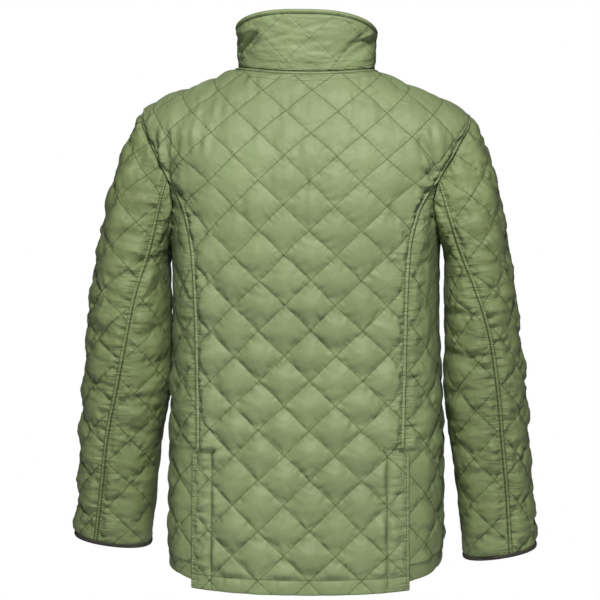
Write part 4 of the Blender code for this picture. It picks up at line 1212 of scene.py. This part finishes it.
def stand(angle, share):
    """A point of the collar's form; share is 0 at the neck seam, 1 at the rim."""
    angle, share = np.broadcast_arrays(np.asarray(angle, float), np.asarray(share, float))
    across, deep = rounded(angle, read(COLLAR, "fullness", share))
    is_back = deep > 0
    reach = np.where(is_back, read(COLLAR, "back_y", share), read(COLLAR, "front_y", share))
    side = read(COLLAR, "side", share)
    end = np.where(is_back, read(COLLAR, "back", share), read(COLLAR, "front", share))
    x = read(COLLAR, "half_width", share) * across
    return np.stack([x, reach * deep, side + (end - side) * deep**2], -1)


def fold_depth(fold, angles, shares):
    x = np.radians(angles) * COLLAR_RADIUS
    y = shares * COLLAR_HEIGHT
    start = np.array([math.radians(fold.angle_from) * COLLAR_RADIUS, fold.share_from * COLLAR_HEIGHT])
    end = np.array([math.radians(fold.angle_to) * COLLAR_RADIUS, fold.share_to * COLLAR_HEIGHT])
    run = end - start
    part = ((x - start[0]) * run[0] + (y - start[1]) * run[1]) / (run @ run)
    near = np.clip(part, 0, 1)
    away = np.hypot(x - start[0] - near * run[0], y - start[1] - near * run[1])
    fade = np.sin(np.pi * np.clip(0.15 + 0.7 * near, 0, 1))
    return fold.depth * fade * near_line(away, fold.reach)


def collar_cloth():
    ends = [float(angle_at(x, 0.0, False)) for x in (-OVERLAP, OVERLAP)]
    around = evenly(ends[0], 180 - ends[0], 0.0, COLLAR_COLUMNS, stand)
    angles, shares = np.meshgrid(around, np.linspace(0, 1, COLLAR_ROWS + 1))
    form = stand(angles, shares)
    out = outward(stand, angles, shares)
    dent = np.zeros(angles.shape)
    for fold in COLLAR_FOLDS:
        dent = np.maximum(dent, fold_depth(fold, angles, shares))
    for fold in COLLAR_CREASES:
        dent = dent + fold_depth(fold, angles, shares)
    under = ramp(-form[..., 0], LAP_RAMP) * (angles > 180)
    run = run_of(form)
    across = -(run - run[:, -1:] / 2)
    up = grid_run(form)
    from_rim = up[-1:] - up
    one, two = lattice(across, -up, COLLAR_GRAIN)
    flat = ease((up - 0.010) / 0.006) * ease((from_rim - 0.007) / 0.005)
    relief = quilting(one, two, 101, 0.0016, 0.0007) * flat
    relief += 0.0008 * cloudy(across / 0.026, up / 0.0075, 103) * flat
    relief += 0.0004 * cloudy(across / 0.010, up / 0.0040, 104) * flat
    relief -= 0.0018 * near_line(from_rim - RIM_STITCH, 0.0013)
    relief += 0.0013 * ease((0.0062 - from_rim) / 0.002)
    relief += 0.0006 * cloudy(across / 0.05, up / 0.006, 106) * (1 - flat)
    relief += 0.0007 * cloudy(across / 0.0055, 0.5, 105) * near_line(from_rim - 0.0095, 0.005)
    relief -= 0.0010 * near_line(up, 0.0012)
    relief -= 0.0016 * near_line(from_rim, 0.0018)
    relief -= 0.0006
    present = np.ones((COLLAR_ROWS, COLLAR_COLUMNS), bool)
    base = form - out * (dent + under * TUCK)[..., None]
    return Cloth("quilted_collar", base, out, relief, present, one, two, up, 0.55 * flat)


collar_sheet = collar_cloth()
collar = collar_sheet.build(GREEN, True)
columns = np.arange(2.0, COLLAR_COLUMNS - 1, 2.0)
rim_row = np.full(len(columns), (1 - RIM_STITCH / CLOTH_UP_COLLAR) * COLLAR_ROWS)
collar_stitches = stitch_rows("collar_topstitching", [collar_sheet.place(rim_row, columns)])
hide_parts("collar")

# ---------------------------------------------------------------------------------------------
# Press studs: six domed gunmetal caps down the left front edge, each clenched through the cloth
# to a socket out of sight under the lap. They stay fastened.
# ---------------------------------------------------------------------------------------------
STUD_DROPS = (0.095, 0.215, 0.335, 0.455, 0.575, 0.685)
STUD_RADIUS = 0.0075
STUD_SIDES = 48
# Up the cap from its skirt: how wide it is, as a share of the radius, and how high.
CapRing = namedtuple("CapRing", "share height")
CAP_RINGS = [
    CapRing(1.00, 0.0), CapRing(1.00, 0.0009), CapRing(0.97, 0.0014), CapRing(0.90, 0.0017),
    CapRing(0.82, 0.0017), CapRing(0.78, 0.0015), CapRing(0.70, 0.0018), CapRing(0.52, 0.0022),
    CapRing(0.30, 0.0024), CapRing(0.12, 0.0025),
]
GUNMETAL = bpy.data.materials.new("gunmetal_cap")
GUNMETAL.use_nodes = True
metal = GUNMETAL.node_tree
shader = metal.nodes["Principled BSDF"]
scratch = noise(metal, node(metal, "ShaderNodeTexCoord").outputs["Object"], 700.0, 3.0)
metal.links.new(ranged(metal, scratch, 0.3, 0.7, 0.30, 0.48), shader.inputs["Roughness"])
scuffs = node(metal, "ShaderNodeBump", [("Height", scratch), ("Strength", 0.1), ("Distance", 0.0003)])
metal.links.new(scuffs.outputs[0], shader.inputs["Normal"])
shader.inputs["Base Color"].default_value = (0.115, 0.105, 0.090, 1)
shader.inputs["Metallic"].default_value = 0.9

# One cap is drawn up from a disc, ring by ring, and then copied to each place.
bpy.ops.object.select_all(action="DESELECT")
bpy.ops.mesh.primitive_circle_add(vertices=STUD_SIDES, radius=STUD_RADIUS, fill_type="NGON")
first_cap = bpy.context.object
bpy.ops.object.mode_set(mode="EDIT")
for below, ring in zip(CAP_RINGS, CAP_RINGS[1:]):
    rise = (0, 0, ring.height - below.height)
    narrower = ring.share / below.share
    bpy.ops.mesh.extrude_region_move(TRANSFORM_OT_translate={"value": rise})
    bpy.ops.transform.resize(value=(narrower, narrower, 1))
bpy.ops.mesh.select_all(action="SELECT")
bpy.ops.mesh.normals_make_consistent(inside=False)
bpy.ops.object.mode_set(mode="OBJECT")
first_cap.data.materials.append(GUNMETAL)
first_cap.data.polygons.foreach_set("use_smooth", [True] * len(first_cap.data.polygons))
for number, drop in enumerate(STUD_DROPS, start=1):
    angle = float(angle_at(0.0, drop, False))
    out = outward(body, np.array(angle), np.array(drop))
    across = np.array([1.0, 0.0, 0.0])
    turned = np.stack([across, np.cross(out, across), out])
    mesh = first_cap.data.copy()
    mesh.name = f"stud_cap_{number}"
    points = np.array([vertex.co for vertex in mesh.vertices]) @ turned
    points = leaned(points + body(angle, drop) + out * 0.0006)
    mesh.vertices.foreach_set("co", points.ravel())
    mesh.update()
    cap = bpy.data.objects.new(f"stud_cap_{number}", mesh)
    bpy.context.scene.collection.objects.link(cap)
    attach(cap, "root")
    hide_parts(f"stud_{number}")
bpy.data.objects.remove(first_cap)

# ---------------------------------------------------------------------------------------------
# Staging: a plain pale floor far below, as for a worn jacket, and soft studio light.
# The camera stands behind the wearer, a little to their right.
# ---------------------------------------------------------------------------------------------
bpy.ops.mesh.primitive_plane_add(size=8, location=(0, 0, -1.5))
floor = bpy.context.object
floor.name = "floor"
pale = bpy.data.materials.new("pale_floor")
pale.use_nodes = True
matt = pale.node_tree.nodes["Principled BSDF"]
matt.inputs["Base Color"].default_value = (0.72, 0.72, 0.72, 1)
matt.inputs["Roughness"].default_value = 0.8
floor.data.materials.append(pale)

CAMERA_FROM = 3.2
CAMERA_TURN = math.radians(5.2)
CAMERA_HEIGHT = -0.3465
CAMERA_SHIFT = -0.01083
VIEW_WIDE = 0.9
camera = bpy.data.objects.new("camera", bpy.data.cameras.new("camera"))
bpy.context.scene.collection.objects.link(camera)
camera.data.sensor_width = 36
camera.data.lens = camera.data.sensor_width * CAMERA_FROM / VIEW_WIDE
camera.data.shift_x = CAMERA_SHIFT
camera.location = (
    -CAMERA_FROM * math.sin(CAMERA_TURN),
    CAMERA_FROM * math.cos(CAMERA_TURN),
    CAMERA_HEIGHT,
)
aim = Vector((math.sin(CAMERA_TURN), -math.cos(CAMERA_TURN), 0))
camera.rotation_euler = aim.to_track_quat("-Z", "Y").to_euler()
bpy.context.scene.camera = camera

Lamp = namedtuple("Lamp", "name place size watts")
LAMPS = [
    Lamp("key", (-0.4, 2.7, 2.7), 0.6, 168),
    Lamp("fill", (0.0, 4.2, 0.0), 1.6, 13),
    Lamp("front_key", (0.3, -3.0, 2.6), 1.0, 150),
]
for lamp in LAMPS:
    data = bpy.data.lights.new(lamp.name, "AREA")
    data.size = lamp.size
    data.energy = lamp.watts
    light = bpy.data.objects.new(lamp.name, data)
    light.location = lamp.place
    # The front light only fills: its mirror image would glitter along the shoulders.
    light.visible_glossy = lamp.name != "front_key"
    to = Vector((0, 0, -0.35)) - Vector(lamp.place)
    light.rotation_euler = to.to_track_quat("-Z", "Y").to_euler()
    bpy.context.scene.collection.objects.link(light)
sky = bpy.data.worlds.new("studio")
bpy.context.scene.world = sky
sky.use_nodes = True
tree = sky.node_tree
shown = tree.nodes["Background"]
shown.inputs["Color"].default_value = (1, 1, 1, 1)
shown.inputs["Strength"].default_value = 1.0
lit = node(tree, "ShaderNodeBackground", [("Color", (1, 1, 1, 1)), ("Strength", 0.05)])
path = node(tree, "ShaderNodeLightPath")
shaders = enumerate((path.outputs["Is Camera Ray"], lit.outputs[0], shown.outputs[0]))
either = node(tree, "ShaderNodeMixShader", shaders)
tree.links.new(either.outputs[0], tree.nodes["World Output"].inputs["Surface"])
bpy.context.scene.view_settings.view_transform = "Standard"
